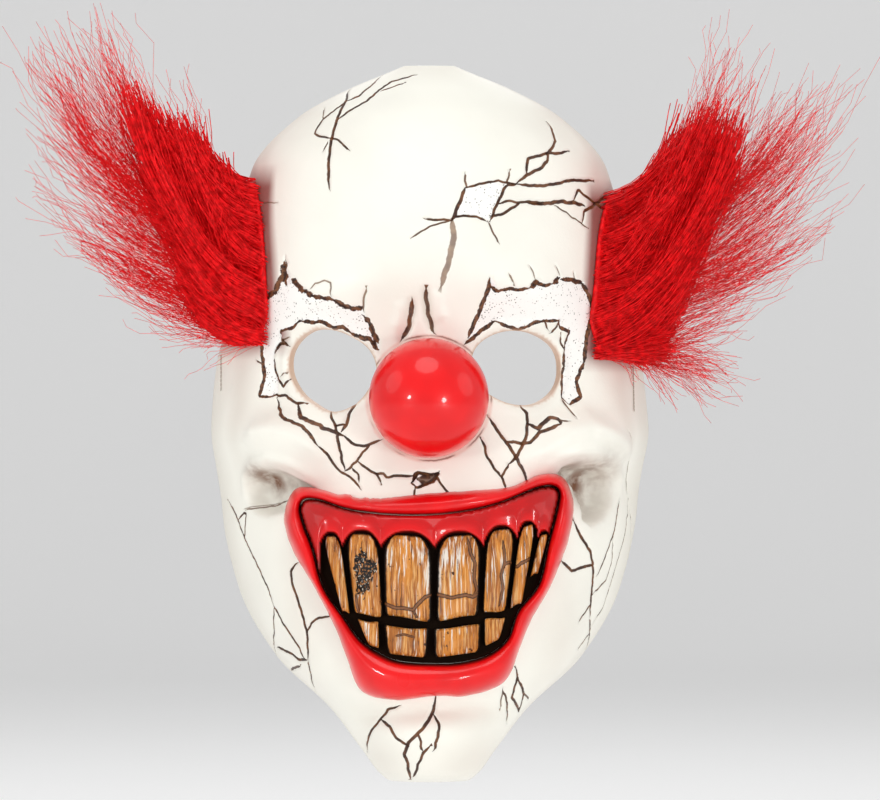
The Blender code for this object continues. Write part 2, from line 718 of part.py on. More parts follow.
def main():
    for old in list(bpy.data.objects):
        bpy.data.objects.remove(old)
    mask = collection("clown_mask")
    cutters = collection("clown_mask_cutters")

    clearance_mesh = face_grid("face_clearance", SEAT_GAP, FACE_COLUMNS, FACE_ROWS)
    face_clearance = as_cutter(add_object("face_clearance", clearance_mesh, cutters))
    add_wall(face_clearance, CLEARANCE_DEPTH)

    add_face_shell(mask, cutters, finish("ivory_latex", IVORY, 0.45))
    add_nose_ball(mask, finish("nose_red", LIP_RED, 0.12, coat=0.6))
    add_lips(mask, face_clearance, finish("lip_red", LIP_RED, 0.15, coat=0.5))
    add_gum_plate(mask, cutters, face_clearance, finish("gum_red", GUM_RED, 0.25, coat=0.3))
    tooth_finish = finish("tooth_amber", TOOTH_AMBER, 0.35)
    for row, teeth in (("upper", UPPER_TEETH), ("lower", LOWER_TEETH)):
        for number, tooth in enumerate(teeth, 1):
            add_tooth(f"{row}_tooth_{number}", tooth, mask, tooth_finish)

    fur = finish("fur_red", FUR_RED, 0.70)
    add_tuft("hair_tuft_left", -1, LEFT_TUFT_Z, LEFT_LOCKS, mask, face_clearance, fur)
    add_tuft("hair_tuft_right", 1, RIGHT_TUFT_Z, RIGHT_LOCKS, mask, face_clearance, fur)
    add_head_strap(mask, finish("elastic_black", ELASTIC_BLACK, 0.80))


main()
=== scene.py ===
"""Clown mask: the painted face with its cracks, ball nose, lips, gum, teeth, fur tufts and head strap.

It is laid out as an add-on and run as a script. Lengths are metres. The face looks towards -Y.
"""

from collections import namedtuple
from math import cos, hypot, pi, radians, sin

import bmesh
import bpy
import numpy as np
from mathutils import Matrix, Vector
from mathutils.geometry import delaunay_2d_cdt


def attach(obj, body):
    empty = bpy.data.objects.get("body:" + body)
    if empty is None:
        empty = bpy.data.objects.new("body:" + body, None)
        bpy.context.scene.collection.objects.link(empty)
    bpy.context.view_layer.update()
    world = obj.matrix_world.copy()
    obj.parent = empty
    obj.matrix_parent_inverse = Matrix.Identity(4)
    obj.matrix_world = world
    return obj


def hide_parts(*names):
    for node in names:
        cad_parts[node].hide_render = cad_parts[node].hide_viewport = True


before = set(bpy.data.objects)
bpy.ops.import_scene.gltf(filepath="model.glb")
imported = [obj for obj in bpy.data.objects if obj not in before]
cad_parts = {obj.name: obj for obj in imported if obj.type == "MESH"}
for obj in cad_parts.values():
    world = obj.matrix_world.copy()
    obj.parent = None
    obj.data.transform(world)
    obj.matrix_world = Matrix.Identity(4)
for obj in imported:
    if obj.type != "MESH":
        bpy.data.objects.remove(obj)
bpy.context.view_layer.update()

bl_info = {
    "name": "Clown Mask",
    "version": (1, 0, 0),
    "blender": (4, 5, 0),
    "location": "View3D > Sidebar > Clown Mask",
    "description": "Builds a moulded clown mask with painted cracks, glossy mouth and fur tufts",
    "category": "Object",
}

BODY = "root"
MM = 0.001

# The photograph's frame: its size in pixels, the width of a pixel at the mask's eye line, and the camera
IMAGE_SIZE = (880, 800)
PIXEL = 0.00035
CAMERA_DISTANCE = 1.6
MASK_MIDDLE_PIXEL = (429, 370)
CAMERA_X = (IMAGE_SIZE[0] / 2 - MASK_MIDDLE_PIXEL[0]) * PIXEL
CAMERA_Z = (MASK_MIDDLE_PIXEL[1] - IMAGE_SIZE[1] / 2) * PIXEL

# The face, as the solids have it
FACE_WIDTH = 0.1566
TOP_RISE = 0.1092
CHIN_DROP = 0.1444
FACE_DEPTH = 0.0800
WALL = 0.0022
SIDE_TURN = radians(78)
SEAT_GAP = 0.0004

EYE_WIDTH = 0.0300
EYE_HEIGHT = 0.0262
LEFT_EYE_X = -0.0335
RIGHT_EYE_X = 0.0305
EYE_Z = 0.0005
EYE_OPEN = 1.05

NOSE_RADIUS = 0.0208
NOSE_WALL = 0.0020
NOSE_Z = -0.0098
NOSE_STAND_OFF = 0.0130
NOSE_HOLE_RADIUS = 0.0132

MOUTH_WIDTH = 0.1015
MOUTH_HEIGHT = 0.0777
MOUTH_Z = -0.0754
LIP_RISE = 0.0085
GUM_THICKNESS = 0.0014
TOOTH_THICKNESS = 0.0046

TUFT_HALF_HEIGHT = 0.0280
TUFT_HALF_DEPTH = 0.0150
TUFT_LOW_TURN = 0.72
TUFT_HIGH_TURN = 0.90
LEFT_TUFT_Z = 0.0390
RIGHT_TUFT_Z = 0.0340

STRAP_WIDTH = 0.0120
STRAP_THICKNESS = 0.0012
STRAP_TAB = 0.0140
STRAP_LEAD = 0.0060
STRAP_Z = -0.0040
STRAP_DROP = 0.0260
HEAD_LENGTH = 0.1900

# A row for each level of the face, in shares of its sizes
Section = namedtuple("Section", "height half_width front rim")
SECTIONS = (
    Section(1.000, 0.110, 0.460, 0.480),
    Section(0.975, 0.195, 0.400, 0.490),
    Section(0.925, 0.368, 0.300, 0.520),
    Section(0.835, 0.599, 0.160, 0.570),
    Section(0.670, 0.814, 0.020, 0.640),
    Section(0.370, 0.908, -0.075, 0.690),
    Section(0.180, 0.930, -0.060, 0.700),
    Section(0.020, 0.985, -0.030, 0.705),
    Section(-0.080, 1.000, -0.060, 0.700),
    Section(-0.335, 0.962, -0.185, 0.640),
    Section(-0.540, 0.874, -0.255, 0.540),
    Section(-0.705, 0.695, -0.275, 0.400),
    Section(-0.830, 0.440, -0.235, 0.230),
    Section(-0.925, 0.288, -0.215, 0.100),
    Section(-0.975, 0.225, -0.160, 0.080),
    Section(-0.996, 0.180, -0.060, 0.070),
    Section(-1.000, 0.160, 0.040, 0.080),
)

# Broad forms of the face
Form = namedtuple("Form", "across up wide tall turn rise")
FORMS = (
    Form(-0.43, 0.26, 0.27, 0.075, 12, 0.060),
    Form(0.43, 0.28, 0.25, 0.075, -12, 0.060),
    Form(-0.42, 0.00, 0.25, 0.16, 0, -0.050),
    Form(0.40, 0.00, 0.25, 0.16, 0, -0.050),
    Form(0.00, 0.18, 0.10, 0.12, 0, -0.030),
    Form(-0.66, -0.17, 0.24, 0.065, -6, 0.090),
    Form(0.69, -0.17, 0.24, 0.065, 6, 0.090),
    Form(-0.64, -0.30, 0.20, 0.055, 8, -0.075),
    Form(0.66, -0.28, 0.18, 0.055, -8, -0.080),
    Form(-0.01, -0.87, 0.24, 0.080, 0, 0.070),
    Form(0.00, 0.62, 0.55, 0.22, 0, 0.025),
)

EyeEdge = namedtuple("EyeEdge", "turn left right")
EYE_EDGE = (
    EyeEdge(0, 0.96, 1.00),
    EyeEdge(30, 0.93, 1.02),
    EyeEdge(60, 0.90, 0.98),
    EyeEdge(90, 0.98, 0.97),
    EyeEdge(120, 1.08, 1.00),
    EyeEdge(150, 1.06, 1.04),
    EyeEdge(180, 1.00, 0.98),
    EyeEdge(210, 0.96, 0.90),
    EyeEdge(240, 0.98, 0.88),
    EyeEdge(270, 1.10, 0.92),
    EyeEdge(300, 1.02, 1.00),
    EyeEdge(330, 0.94, 1.02),
)

LipSection = namedtuple("LipSection", "outer_across outer_up inner_across inner_up full")
LIP_SECTIONS = (
    LipSection(0.03, 0.84, 0.03, 0.65, 0.62),
    LipSection(0.29, 0.86, 0.29, 0.69, 0.62),
    LipSection(0.55, 0.89, 0.50, 0.76, 0.66),
    LipSection(0.78, 1.00, 0.74, 0.88, 0.72),
    LipSection(0.93, 0.97, 0.86, 0.89, 0.80),
    LipSection(1.00, 0.77, 0.90, 0.81, 0.90),
    LipSection(0.99, 0.56, 0.87, 0.62, 0.95),
    LipSection(0.93, 0.28, 0.82, 0.38, 0.95),
    LipSection(0.82, -0.04, 0.755, 0.02, 0.88),
    LipSection(0.71, -0.28, 0.61, -0.22, 0.84),
    LipSection(0.63, -0.52, 0.54, -0.46, 0.86),
    LipSection(0.52, -0.84, 0.40, -0.60, 0.96),
    LipSection(0.28, -0.96, 0.22, -0.66, 1.00),
    LipSection(0.03, -0.96, 0.03, -0.67, 0.98),
    LipSection(-0.23, -1.00, -0.20, -0.65, 1.00),
    LipSection(-0.46, -0.93, -0.34, -0.58, 0.96),
    LipSection(-0.56, -0.64, -0.475, -0.46, 0.86),
    LipSection(-0.64, -0.37, -0.585, -0.27, 0.84),
    LipSection(-0.80, 0.02, -0.727, 0.00, 0.88),
    LipSection(-0.91, 0.24, -0.80, 0.34, 0.95),
    LipSection(-0.99, 0.48, -0.86, 0.54, 0.95),
    LipSection(-1.00, 0.68, -0.89, 0.68, 0.90),
    LipSection(-0.93, 0.86, -0.86, 0.77, 0.80),
    LipSection(-0.80, 0.88, -0.75, 0.77, 0.68),
    LipSection(-0.54, 0.80, -0.54, 0.69, 0.62),
    LipSection(-0.26, 0.80, -0.26, 0.65, 0.62),
)

# Teeth in pixels of the photograph: the left and right ends of the root and of the free edge, and how
# much the sides round in
Tooth = namedtuple("Tooth", "root_left root_right edge_left edge_right taper")
UPPER_TEETH = (
    Tooth((321, 535), (341, 536), (342, 612), (350, 613), 0.9),
    Tooth((344, 532), (379, 535), (354, 614), (383, 617), 0.8),
    Tooth((382, 533), (433, 537), (385, 616), (431.5, 622), 0.8),
    Tooth((436, 537), (483, 533), (436.5, 621), (478, 616), 0.8),
    Tooth((486, 531), (517, 527), (482.5, 614), (506, 610), 0.8),
    Tooth((519.5, 527), (537, 522), (509.5, 609), (522, 603), 0.8),
    Tooth((539.5, 535), (549, 533), (530, 577), (538, 573), 0.6),
)
LOWER_TEETH = (
    Tooth((368, 645), (380, 649), (357, 619.5), (379, 622), 0.3),
    Tooth((387, 654), (427, 658.5), (384, 626), (429, 628.5), 0.2),
    Tooth((434, 658.5), (480, 652), (434, 628.5), (481, 625), 0.2),
    Tooth((484, 647), (500, 639), (484, 620), (506, 616.5), 0.3),
)
ToothSection = namedtuple("ToothSection", "along wide thick")
TOOTH_SECTIONS = (
    ToothSection(0.00, 0.86, 0.40),
    ToothSection(0.02, 0.94, 0.66),
    ToothSection(0.06, 1.00, 0.85),
    ToothSection(0.45, 0.98, 1.00),
    ToothSection(0.70, 0.95, 0.95),
    ToothSection(0.84, 0.86, 0.84),
    ToothSection(0.93, 0.68, 0.70),
    ToothSection(0.98, 0.44, 0.50),
    ToothSection(1.00, 0.20, 0.34),
)

# Cracks of the face in pixels of the photograph: how wide each is, how dark from 0 to 1, and its path
Crack = namedtuple("Crack", "width tone path")
FOREHEAD_CRACKS = (
    Crack(3.2, 0.9, ((349, 90), (347, 100), (338, 116), (333, 131), (330, 146), (328, 166), (329, 189))),
    Crack(2.6, 0.9, ((347, 101), (359, 96), (374, 83), (387, 72))),
    Crack(2.4, 0.8, ((336, 121), (349, 111), (366, 101), (378, 91), (391, 82), (416, 75))),
    Crack(1.8, 0.7, ((381, 91), (404, 83))),
    Crack(2.2, 0.8, ((347, 101), (333, 111), (323, 119), (316, 130), (314, 134), (322, 137), (331, 138))),
    Crack(2.0, 0.7, ((331, 138), (338, 140), (349, 150))),
    Crack(1.6, 0.6, ((324, 109), (323, 119))),
    Crack(1.6, 0.6, ((328, 141), (323, 151))),
    Crack(1.2, 0.25, ((250, 203), (278, 203))),
    Crack(5.0, 0.45, ((452, 219), (454, 238), (450, 257), (441, 287))),
    Crack(2.2, 0.7, ((452, 220), (440, 220), (425, 219))),
    Crack(1.6, 0.6, ((450, 221), (435, 225), (428, 228), (411, 238))),
    Crack(3.4, 0.95, ((465, 188), (459, 205), (452, 220))),
    Crack(2.2, 0.8, ((465, 188), (479, 184), (498, 181), (517, 184))),
    Crack(2.2, 0.85, ((453, 217), (465, 216), (478, 217), (486, 221))),
    Crack(2.2, 0.8, ((517, 184), (507, 185), (498, 203), (490, 221))),
    Crack(1.8, 0.6, ((466, 188), (465, 173))),
    Crack(1.8, 0.6, ((507, 184), (510, 171))),
    Crack(1.6, 0.6, ((488, 222), (499, 243))),
    Crack(3.2, 0.95, (
        (517, 183), (527, 175), (542, 168), (548, 161), (549, 153), (556, 141), (551, 127), (547, 122),
    )),
    Crack(3.0, 0.95, ((527, 175), (528, 159), (537, 156), (549, 153), (562, 153), (568, 151))),
    Crack(3.0, 0.8, ((517, 184), (542, 186), (556, 184), (571, 180), (593, 181))),
    Crack(2.2, 0.7, ((498, 204), (508, 201), (520, 202), (542, 203))),
    Crack(3.6, 0.95, ((528, 203), (542, 204), (559, 202), (573, 203), (585, 206))),
    Crack(2.6, 0.85, ((491, 216), (505, 213), (520, 203))),
    Crack(2.8, 0.9, ((573, 202), (579, 190), (593, 202), (605, 210), (617, 219))),
    Crack(3.0, 0.95, ((582, 224), (585, 211), (597, 203), (605, 197), (616, 203))),
    Crack(1.4, 0.6, ((554, 205), (568, 214), (582, 224), (588, 228))),
    Crack(4.0, 0.75, ((412, 300), (411, 314), (408, 328), (401, 340))),
    Crack(3.8, 0.65, ((426, 288), (426, 303), (429, 319), (434, 333))),
)
LEFT_CHEEK_CRACKS = (
    Crack(2.6, 0.85, ((276, 395), (286, 396), (297, 403), (306, 403))),
    Crack(3.2, 0.95, ((298, 403), (301, 414), (304, 418), (313, 422), (324, 428), (335, 432), (344, 436))),
    Crack(2.6, 0.85, ((344, 436), (353, 443), (361, 446), (371, 444), (381, 440))),
    Crack(2.4, 0.75, ((277, 399), (280, 408), (285, 418), (297, 422), (306, 426), (314, 435), (321, 446))),
    Crack(2.4, 0.8, ((321, 446), (329, 454), (335, 466), (341, 472), (351, 478), (357, 484), (360, 489))),
    Crack(2.4, 0.8, ((331, 410), (333, 420), (336, 431), (339, 443), (341, 456), (345, 470))),
    Crack(3.0, 0.95, ((358, 399), (349, 416), (345, 426), (341, 432))),
    Crack(2.0, 0.8, ((335, 426), (345, 425))),
    Crack(2.2, 0.7, ((370, 445), (363, 452), (357, 460), (351, 467), (345, 471))),
    Crack(2.4, 0.85, (
        (357, 461), (364, 467), (376, 474), (383, 474), (387, 478), (394, 476), (400, 475), (415, 476),
    )),
    Crack(2.0, 0.7, ((376, 474), (381, 483))),
    Crack(2.0, 0.7, ((352, 468), (358, 474), (359, 482))),
    Crack(2.6, 0.9, ((411, 483), (418, 472), (430, 475), (439, 473), (430, 482), (418, 488))),
    Crack(2.0, 0.7, ((415, 488), (414, 498))),
    Crack(2.2, 0.8, ((436, 476), (443, 486), (449, 494))),
)
RIGHT_CHEEK_CRACKS = (
    Crack(3.0, 0.9, ((488, 417), (497, 430), (506, 441), (512, 450), (516, 457), (524, 472), (528, 484))),
    Crack(3.0, 0.9, (
        (506, 441), (514, 442), (523, 444), (531, 443), (538, 434), (540, 432), (549, 429), (558, 424),
    )),
    Crack(3.4, 0.95, ((558, 424), (556, 419), (549, 417), (544, 422), (538, 429), (528, 424))),
    Crack(2.8, 0.9, ((520, 405), (526, 413), (528, 423), (526, 436), (523, 444), (516, 458), (509, 464))),
    Crack(2.2, 0.8, ((509, 464), (502, 476), (506, 489))),
    Crack(2.4, 0.8, ((481, 439), (488, 457), (495, 469), (502, 478))),
    Crack(1.6, 0.6, ((561, 398), (568, 408), (573, 417))),
    Crack(1.6, 0.6, ((558, 420), (566, 421))),
)
RIGHT_SIDE_CRACKS = (
    Crack(1.4, 0.5, ((628, 430), (628, 460), (627, 492))),
    Crack(2.0, 0.75, ((619, 500), (613, 536), (603, 563), (597, 576))),
    Crack(1.8, 0.7, ((628, 500), (628, 510), (624, 538), (614, 573), (608, 592), (603, 607), (593, 624))),
    Crack(1.6, 0.6, ((613, 538), (612, 561), (606, 580), (593, 594))),
    Crack(1.4, 0.5, ((630, 511), (631, 538), (626, 567), (626, 590))),
    Crack(3.2, 0.95, ((574, 521), (582, 538), (591, 552), (593, 565), (593, 582), (591, 600), (590, 619))),
    Crack(2.8, 0.9, ((590, 619), (590, 632), (587, 647))),
    Crack(2.0, 0.7, ((589, 634), (578, 649))),
    Crack(2.0, 0.7, ((590, 605), (579, 622))),
    Crack(2.8, 0.9, ((562, 561), (572, 571), (583, 567), (593, 565))),
    Crack(2.6, 0.85, ((516, 668), (518, 676), (513, 697), (519, 712), (524, 693), (518, 676))),
    Crack(1.8, 0.6, ((524, 693), (529, 699))),
    Crack(2.0, 0.7, ((503, 689), (508, 703), (507, 722))),
    Crack(1.6, 0.5, ((503, 693), (502, 708))),
)
LEFT_SIDE_CRACKS = (
    Crack(2.2, 0.8, ((228, 500), (238, 520), (245, 539), (256, 563), (266, 584), (273, 604))),
    Crack(2.4, 0.85, ((273, 604), (284, 625), (295, 642), (305, 659))),
    Crack(2.2, 0.8, ((238, 520), (243, 513), (246, 514), (245, 539))),
    Crack(1.4, 0.5, ((246, 510), (262, 506), (274, 501))),
    Crack(2.0, 0.8, ((274, 607), (274, 632), (276, 654))),
    Crack(2.6, 0.9, ((277, 647), (290, 653), (300, 660), (307, 660))),
    Crack(2.2, 0.8, ((300, 666), (291, 670))),
    Crack(2.8, 0.9, ((297, 563), (291, 570), (291, 581), (297, 598), (302, 616), (307, 632), (308, 661))),
    Crack(2.2, 0.8, ((308, 661), (311, 675), (315, 689))),
    Crack(2.0, 0.75, ((307, 632), (311, 623), (319, 618), (330, 616))),
    Crack(1.2, 0.3, ((244, 509), (276, 501))),
)
CHIN_CRACKS = (
    Crack(2.4, 0.85, ((398, 706), (386, 711), (379, 718), (371, 731), (367, 742), (367, 751))),
    Crack(2.4, 0.85, ((379, 720), (389, 727), (397, 739), (408, 746))),
    Crack(2.8, 0.9, (
        (436, 696), (434, 707), (432, 716), (420, 731), (408, 744), (405, 755), (408, 769), (410, 779),
    )),
    Crack(2.2, 0.8, ((434, 715), (439, 723), (438, 732), (434, 750))),
    Crack(1.8, 0.7, ((418, 734), (423, 751))),
    Crack(2.2, 0.8, ((430, 746), (422, 755), (417, 766), (413, 777))),
)
BROW_CRACKS = (
    Crack(1.4, 0.45, ((310, 289), (315, 284), (324, 281), (331, 283), (331, 296))),
    Crack(1.8, 0.5, ((366, 288), (363, 303), (364, 312))),
    Crack(1.6, 0.6, ((285, 259), (287, 266))),
    Crack(1.6, 0.5, ((290, 337), (284, 339), (281, 340))),
    Crack(1.6, 0.5, ((286, 373), (281, 376))),
    Crack(1.6, 0.6, ((256, 360), (262, 364))),
    Crack(1.6, 0.5, ((509, 274), (514, 283))),
    Crack(1.4, 0.4, ((530, 266), (535, 279))),
    Crack(1.4, 0.4, ((556, 266), (560, 276))),
    Crack(1.4, 0.4, ((574, 272), (574, 279))),
    Crack(1.4, 0.5, ((593, 308), (598, 312))),
    Crack(2.4, 0.9, ((280, 332), (281, 339), (290, 346))),
    Crack(2.4, 0.9, ((274, 350), (278, 343), (288, 343))),
    Crack(2.4, 0.9, ((275, 369), (277, 378), (283, 387), (290, 380))),
    Crack(2.0, 0.8, ((560, 320), (556, 328), (550, 333))),
    Crack(2.0, 0.8, ((545, 320), (548, 330))),
    Crack(2.4, 0.8, ((563, 349), (559, 342), (561, 336))),
    Crack(9.0, 0.55, ((418, 479), (430, 480), (434, 475))),
)
CRACK_SWELL = 1.55
TORN_SWELL = 1.5
CRACKS = (
    FOREHEAD_CRACKS + LEFT_CHEEK_CRACKS + RIGHT_CHEEK_CRACKS + RIGHT_SIDE_CRACKS + LEFT_SIDE_CRACKS
    + CHIN_CRACKS + BROW_CRACKS
)

# Torn patches in pixels of the photograph: where the skin is torn off down to a stippled white ground
LEFT_BROW_PATCH = (
    (284, 262), (281, 275), (275, 292), (262, 300), (257, 309), (261, 324), (262, 349), (263, 370),
    (265, 380), (258, 396), (271, 397), (278, 392), (278, 383), (276, 370), (274, 359), (276, 349),
    (283, 344), (280, 331), (290, 328), (302, 321), (313, 323), (324, 323), (335, 328), (344, 324),
    (352, 335), (362, 337), (370, 340), (379, 351), (380, 345), (372, 327), (366, 319), (362, 307),
    (352, 309), (342, 305), (333, 298), (321, 298), (313, 295), (302, 288), (296, 279), (291, 281),
    (288, 272),
)
RIGHT_BROW_PATCH = (
    (490, 276), (489, 288), (483, 304), (477, 319), (470, 334), (465, 344), (474, 337), (483, 330),
    (495, 321), (508, 326), (519, 328), (536, 321), (560, 319), (560, 326), (570, 331), (563, 349),
    (564, 366), (561, 382), (561, 397), (570, 405), (581, 397), (577, 381), (585, 362), (587, 340),
    (591, 324), (593, 308), (590, 296), (583, 282), (574, 279), (567, 280), (558, 276), (552, 284),
    (545, 285), (535, 279), (529, 288), (519, 289), (511, 287), (497, 292),
)
FOREHEAD_PATCH = (
    (466, 188), (498, 182), (507, 185), (499, 203), (489, 220), (476, 217), (455, 217), (460, 203),
)
NOSE_PATCH = ((417, 472), (430, 474), (439, 473), (430, 482), (418, 488), (411, 483))
PATCHES = (LEFT_BROW_PATCH, RIGHT_BROW_PATCH, FOREHEAD_PATCH, NOSE_PATCH)

# Wider torn brown edges along the brow patches, in pixels
TORN_EDGES = (
    Crack(9.0, 0.8, ((284, 262), (283, 272), (284, 282))),
    Crack(6.0, 0.8, ((281, 275), (275, 292))),
    Crack(5.0, 0.8, ((275, 292), (262, 300), (258, 306))),
    Crack(6.5, 0.8, ((292, 279), (297, 286), (303, 291))),
    Crack(6.0, 0.75, ((303, 290), (312, 296))),
    Crack(4.0, 0.85, ((312, 296), (323, 298), (332, 299))),
    Crack(5.0, 0.7, ((332, 300), (344, 306), (352, 309), (362, 307))),
    Crack(5.5, 0.8, ((364, 317), (371, 327), (378, 343))),
    Crack(4.5, 0.85, ((379, 350), (370, 339), (361, 337), (351, 333))),
    Crack(3.6, 0.8, ((351, 333), (344, 326), (335, 328), (324, 323), (310, 322), (301, 321))),
    Crack(3.4, 0.95, ((301, 321), (290, 329), (280, 331), (281, 344), (275, 350), (273, 358))),
    Crack(3.6, 0.9, ((273, 358), (275, 368), (278, 381))),
    Crack(4.0, 0.95, ((257, 306), (261, 324), (261, 342))),
    Crack(3.6, 0.85, ((261, 342), (262, 360), (264, 380), (258, 396))),
    Crack(2.4, 0.7, ((258, 396), (271, 397), (278, 394))),
    Crack(4.0, 0.85, ((490, 278), (489, 290), (481, 307), (475, 321), (468, 338))),
    Crack(3.4, 0.8, ((465, 344), (483, 330), (495, 321))),
    Crack(3.0, 0.75, ((495, 321), (508, 327), (519, 329), (536, 322), (560, 320))),
    Crack(3.4, 0.9, ((560, 320), (560, 327), (570, 332), (564, 349), (563, 366))),
    Crack(2.6, 0.7, ((563, 366), (561, 382), (561, 397), (570, 405))),
    Crack(3.0, 0.8, ((570, 405), (581, 397), (577, 381), (585, 362))),
    Crack(4.0, 0.85, ((585, 362), (587, 340), (591, 324), (593, 308))),
    Crack(4.4, 0.85, ((593, 308), (590, 296), (583, 283))),
    Crack(6.0, 0.8, ((560, 278), (553, 284))),
    Crack(6.0, 0.8, ((538, 281), (531, 287))),
    Crack(4.0, 0.75, ((583, 283), (574, 280), (562, 279))),
    Crack(3.0, 0.7, ((552, 284), (545, 286), (538, 283))),
    Crack(3.0, 0.75, ((530, 288), (519, 290), (511, 288), (498, 292), (491, 286))),
    Crack(2.6, 0.7, ((411, 483), (417, 472), (430, 475), (439, 473), (430, 482), (418, 488), (411, 483))),
)

# Folds: ridges, which rise above zero, and creases, in pixels of the photograph, wide from side to side
Fold = namedtuple("Fold", "width rise path")
FOLDS = (
    Fold(26, 0.0030, ((244, 440), (258, 429), (277, 424), (300, 430), (318, 446), (328, 462))),
    Fold(12, 0.0018, ((243, 500), (246, 476), (254, 463), (268, 459), (290, 464), (314, 478))),
    Fold(26, 0.0030, ((552, 446), (566, 428), (587, 422), (606, 430), (621, 447), (627, 462))),
    Fold(12, 0.0018, ((548, 468), (560, 457), (578, 452), (598, 453), (613, 462), (619, 480), (620, 500))),
    Fold(9, -0.0016, ((413, 296), (412, 314), (408, 328), (400, 342))),
    Fold(9, -0.0016, ((425, 284), (426, 303), (429, 319), (435, 334))),
    Fold(12, 0.0010, ((402, 300), (400, 318), (394, 332))),
    Fold(12, 0.0010, ((437, 290), (438, 306), (443, 322))),
    Fold(22, -0.0018, ((346, 712), (380, 716), (430, 712), (480, 706), (512, 700))),
)

# Cheek hollows in pixels: the sharp upper edge, the soft lower edge on from it, and the depth
Hollow = namedtuple("Hollow", "top bottom depth")
HOLLOWS = (
    Hollow(
        ((247, 492), (249, 479), (255, 470), (266, 466), (279, 468), (297, 477), (322, 491)),
        ((310, 503), (296, 508), (282, 514), (268, 518), (255, 514), (248, 504)), 0.0060,
    ),
    Hollow(
        ((556, 474), (564, 465), (577, 460), (592, 460), (606, 466), (612, 478), (613, 492)),
        ((612, 506), (604, 520), (592, 528), (582, 520), (580, 505), (572, 487)), 0.0068,
    ),
)

# Soft paint shading in pixels: brown stains, beige-grey painted shade where the face turns away or folds in,
# and pinks, each a blurred spot
Spot = namedtuple("Spot", "x y wide tall brown grey pink")
SPOTS = (
    Spot(263, 481, 13, 15, 1.00, 0.1, 0.0),
    Spot(282, 484, 26, 13, 0.45, 0.1, 0.0),
    Spot(587, 486, 17, 24, 1.00, 0.1, 0.0),
    Spot(572, 474, 18, 12, 0.80, 0.1, 0.0),
    Spot(603, 482, 12, 20, 0.45, 0.1, 0.0),
    Spot(300, 104, 40, 26, 0.0, 0.30, 0.10),
    Spot(560, 110, 44, 26, 0.0, 0.30, 0.20),
    Spot(598, 190, 18, 44, 0.05, 0.10, 0.45),
    Spot(258, 210, 12, 50, 0.05, 0.20, 0.35),
    Spot(400, 300, 26, 30, 0.0, 0.22, 0.0),
    Spot(240, 400, 16, 60, 0.0, 0.25, 0.05),
    Spot(622, 400, 14, 70, 0.0, 0.22, 0.10),
    Spot(300, 620, 22, 60, 0.0, 0.15, 0.10),
    Spot(560, 640, 26, 50, 0.0, 0.15, 0.10),
    Spot(430, 716, 60, 14, 0.0, 0.30, 0.0),
    Spot(480, 760, 40, 24, 0.0, 0.25, 0.10),
    Spot(376, 760, 34, 24, 0.0, 0.20, 0.05),
    Spot(350, 470, 50, 22, 0.0, 0.10, 0.10),
)

# Fur in pixels of the photograph: where its strands end, how far round that they scatter, and their share
FurTip = namedtuple("FurTip", "x y scatter share root")
LEFT_DENSE_TIPS = (
    FurTip(122, 84, 10, 1.2, -0.55),
    FurTip(138, 104, 11, 1.4, -0.35),
    FurTip(158, 104, 11, 1.4, 0.10),
    FurTip(176, 120, 12, 1.4, 0.45),
    FurTip(150, 140, 11, 1.4, -0.50),
    FurTip(194, 140, 12, 1.4, 0.70),
    FurTip(212, 160, 9, 1.2, 0.95),
    FurTip(186, 136, 14, 1.6, 0.00),
    FurTip(206, 168, 14, 1.6, 0.30),
    FurTip(214, 196, 13, 1.6, -0.20),
    FurTip(224, 232, 11, 1.4, -0.60),
    FurTip(160, 172, 10, 1.3, -0.70),
    FurTip(168, 200, 9, 1.2, -0.85),
    FurTip(174, 228, 8, 1.2, -0.95),
    FurTip(180, 256, 8, 1.2, -1.00),
    FurTip(186, 284, 8, 1.1, -1.00),
    FurTip(198, 300, 7, 1.0, -1.00),
    FurTip(212, 312, 6, 0.9, -1.00),
    FurTip(230, 316, 5, 0.7, -1.00),
)
RIGHT_DENSE_TIPS = (
    FurTip(740, 118, 10, 1.3, -0.50),
    FurTip(728, 104, 10, 1.2, -0.20),
    FurTip(706, 110, 10, 1.2, 0.30),
    FurTip(690, 126, 10, 1.2, 0.80),
    FurTip(730, 146, 11, 1.4, -0.60),
    FurTip(712, 172, 10, 1.4, -0.70),
    FurTip(672, 152, 9, 1.1, 1.00),
    FurTip(690, 160, 14, 1.6, 0.00),
    FurTip(668, 190, 13, 1.6, 0.30),
    FurTip(658, 230, 12, 1.6, -0.10),
    FurTip(648, 270, 11, 1.4, -0.60),
    FurTip(704, 204, 10, 1.3, -0.80),
    FurTip(700, 232, 9, 1.2, -0.90),
    FurTip(692, 262, 8, 1.2, -1.00),
    FurTip(682, 290, 8, 1.1, -1.00),
    FurTip(672, 318, 7, 1.1, -1.00),
    FurTip(664, 344, 7, 1.0, -1.00),
    FurTip(652, 356, 6, 0.9, -1.00),
    FurTip(632, 344, 5, 0.7, -1.00),
)
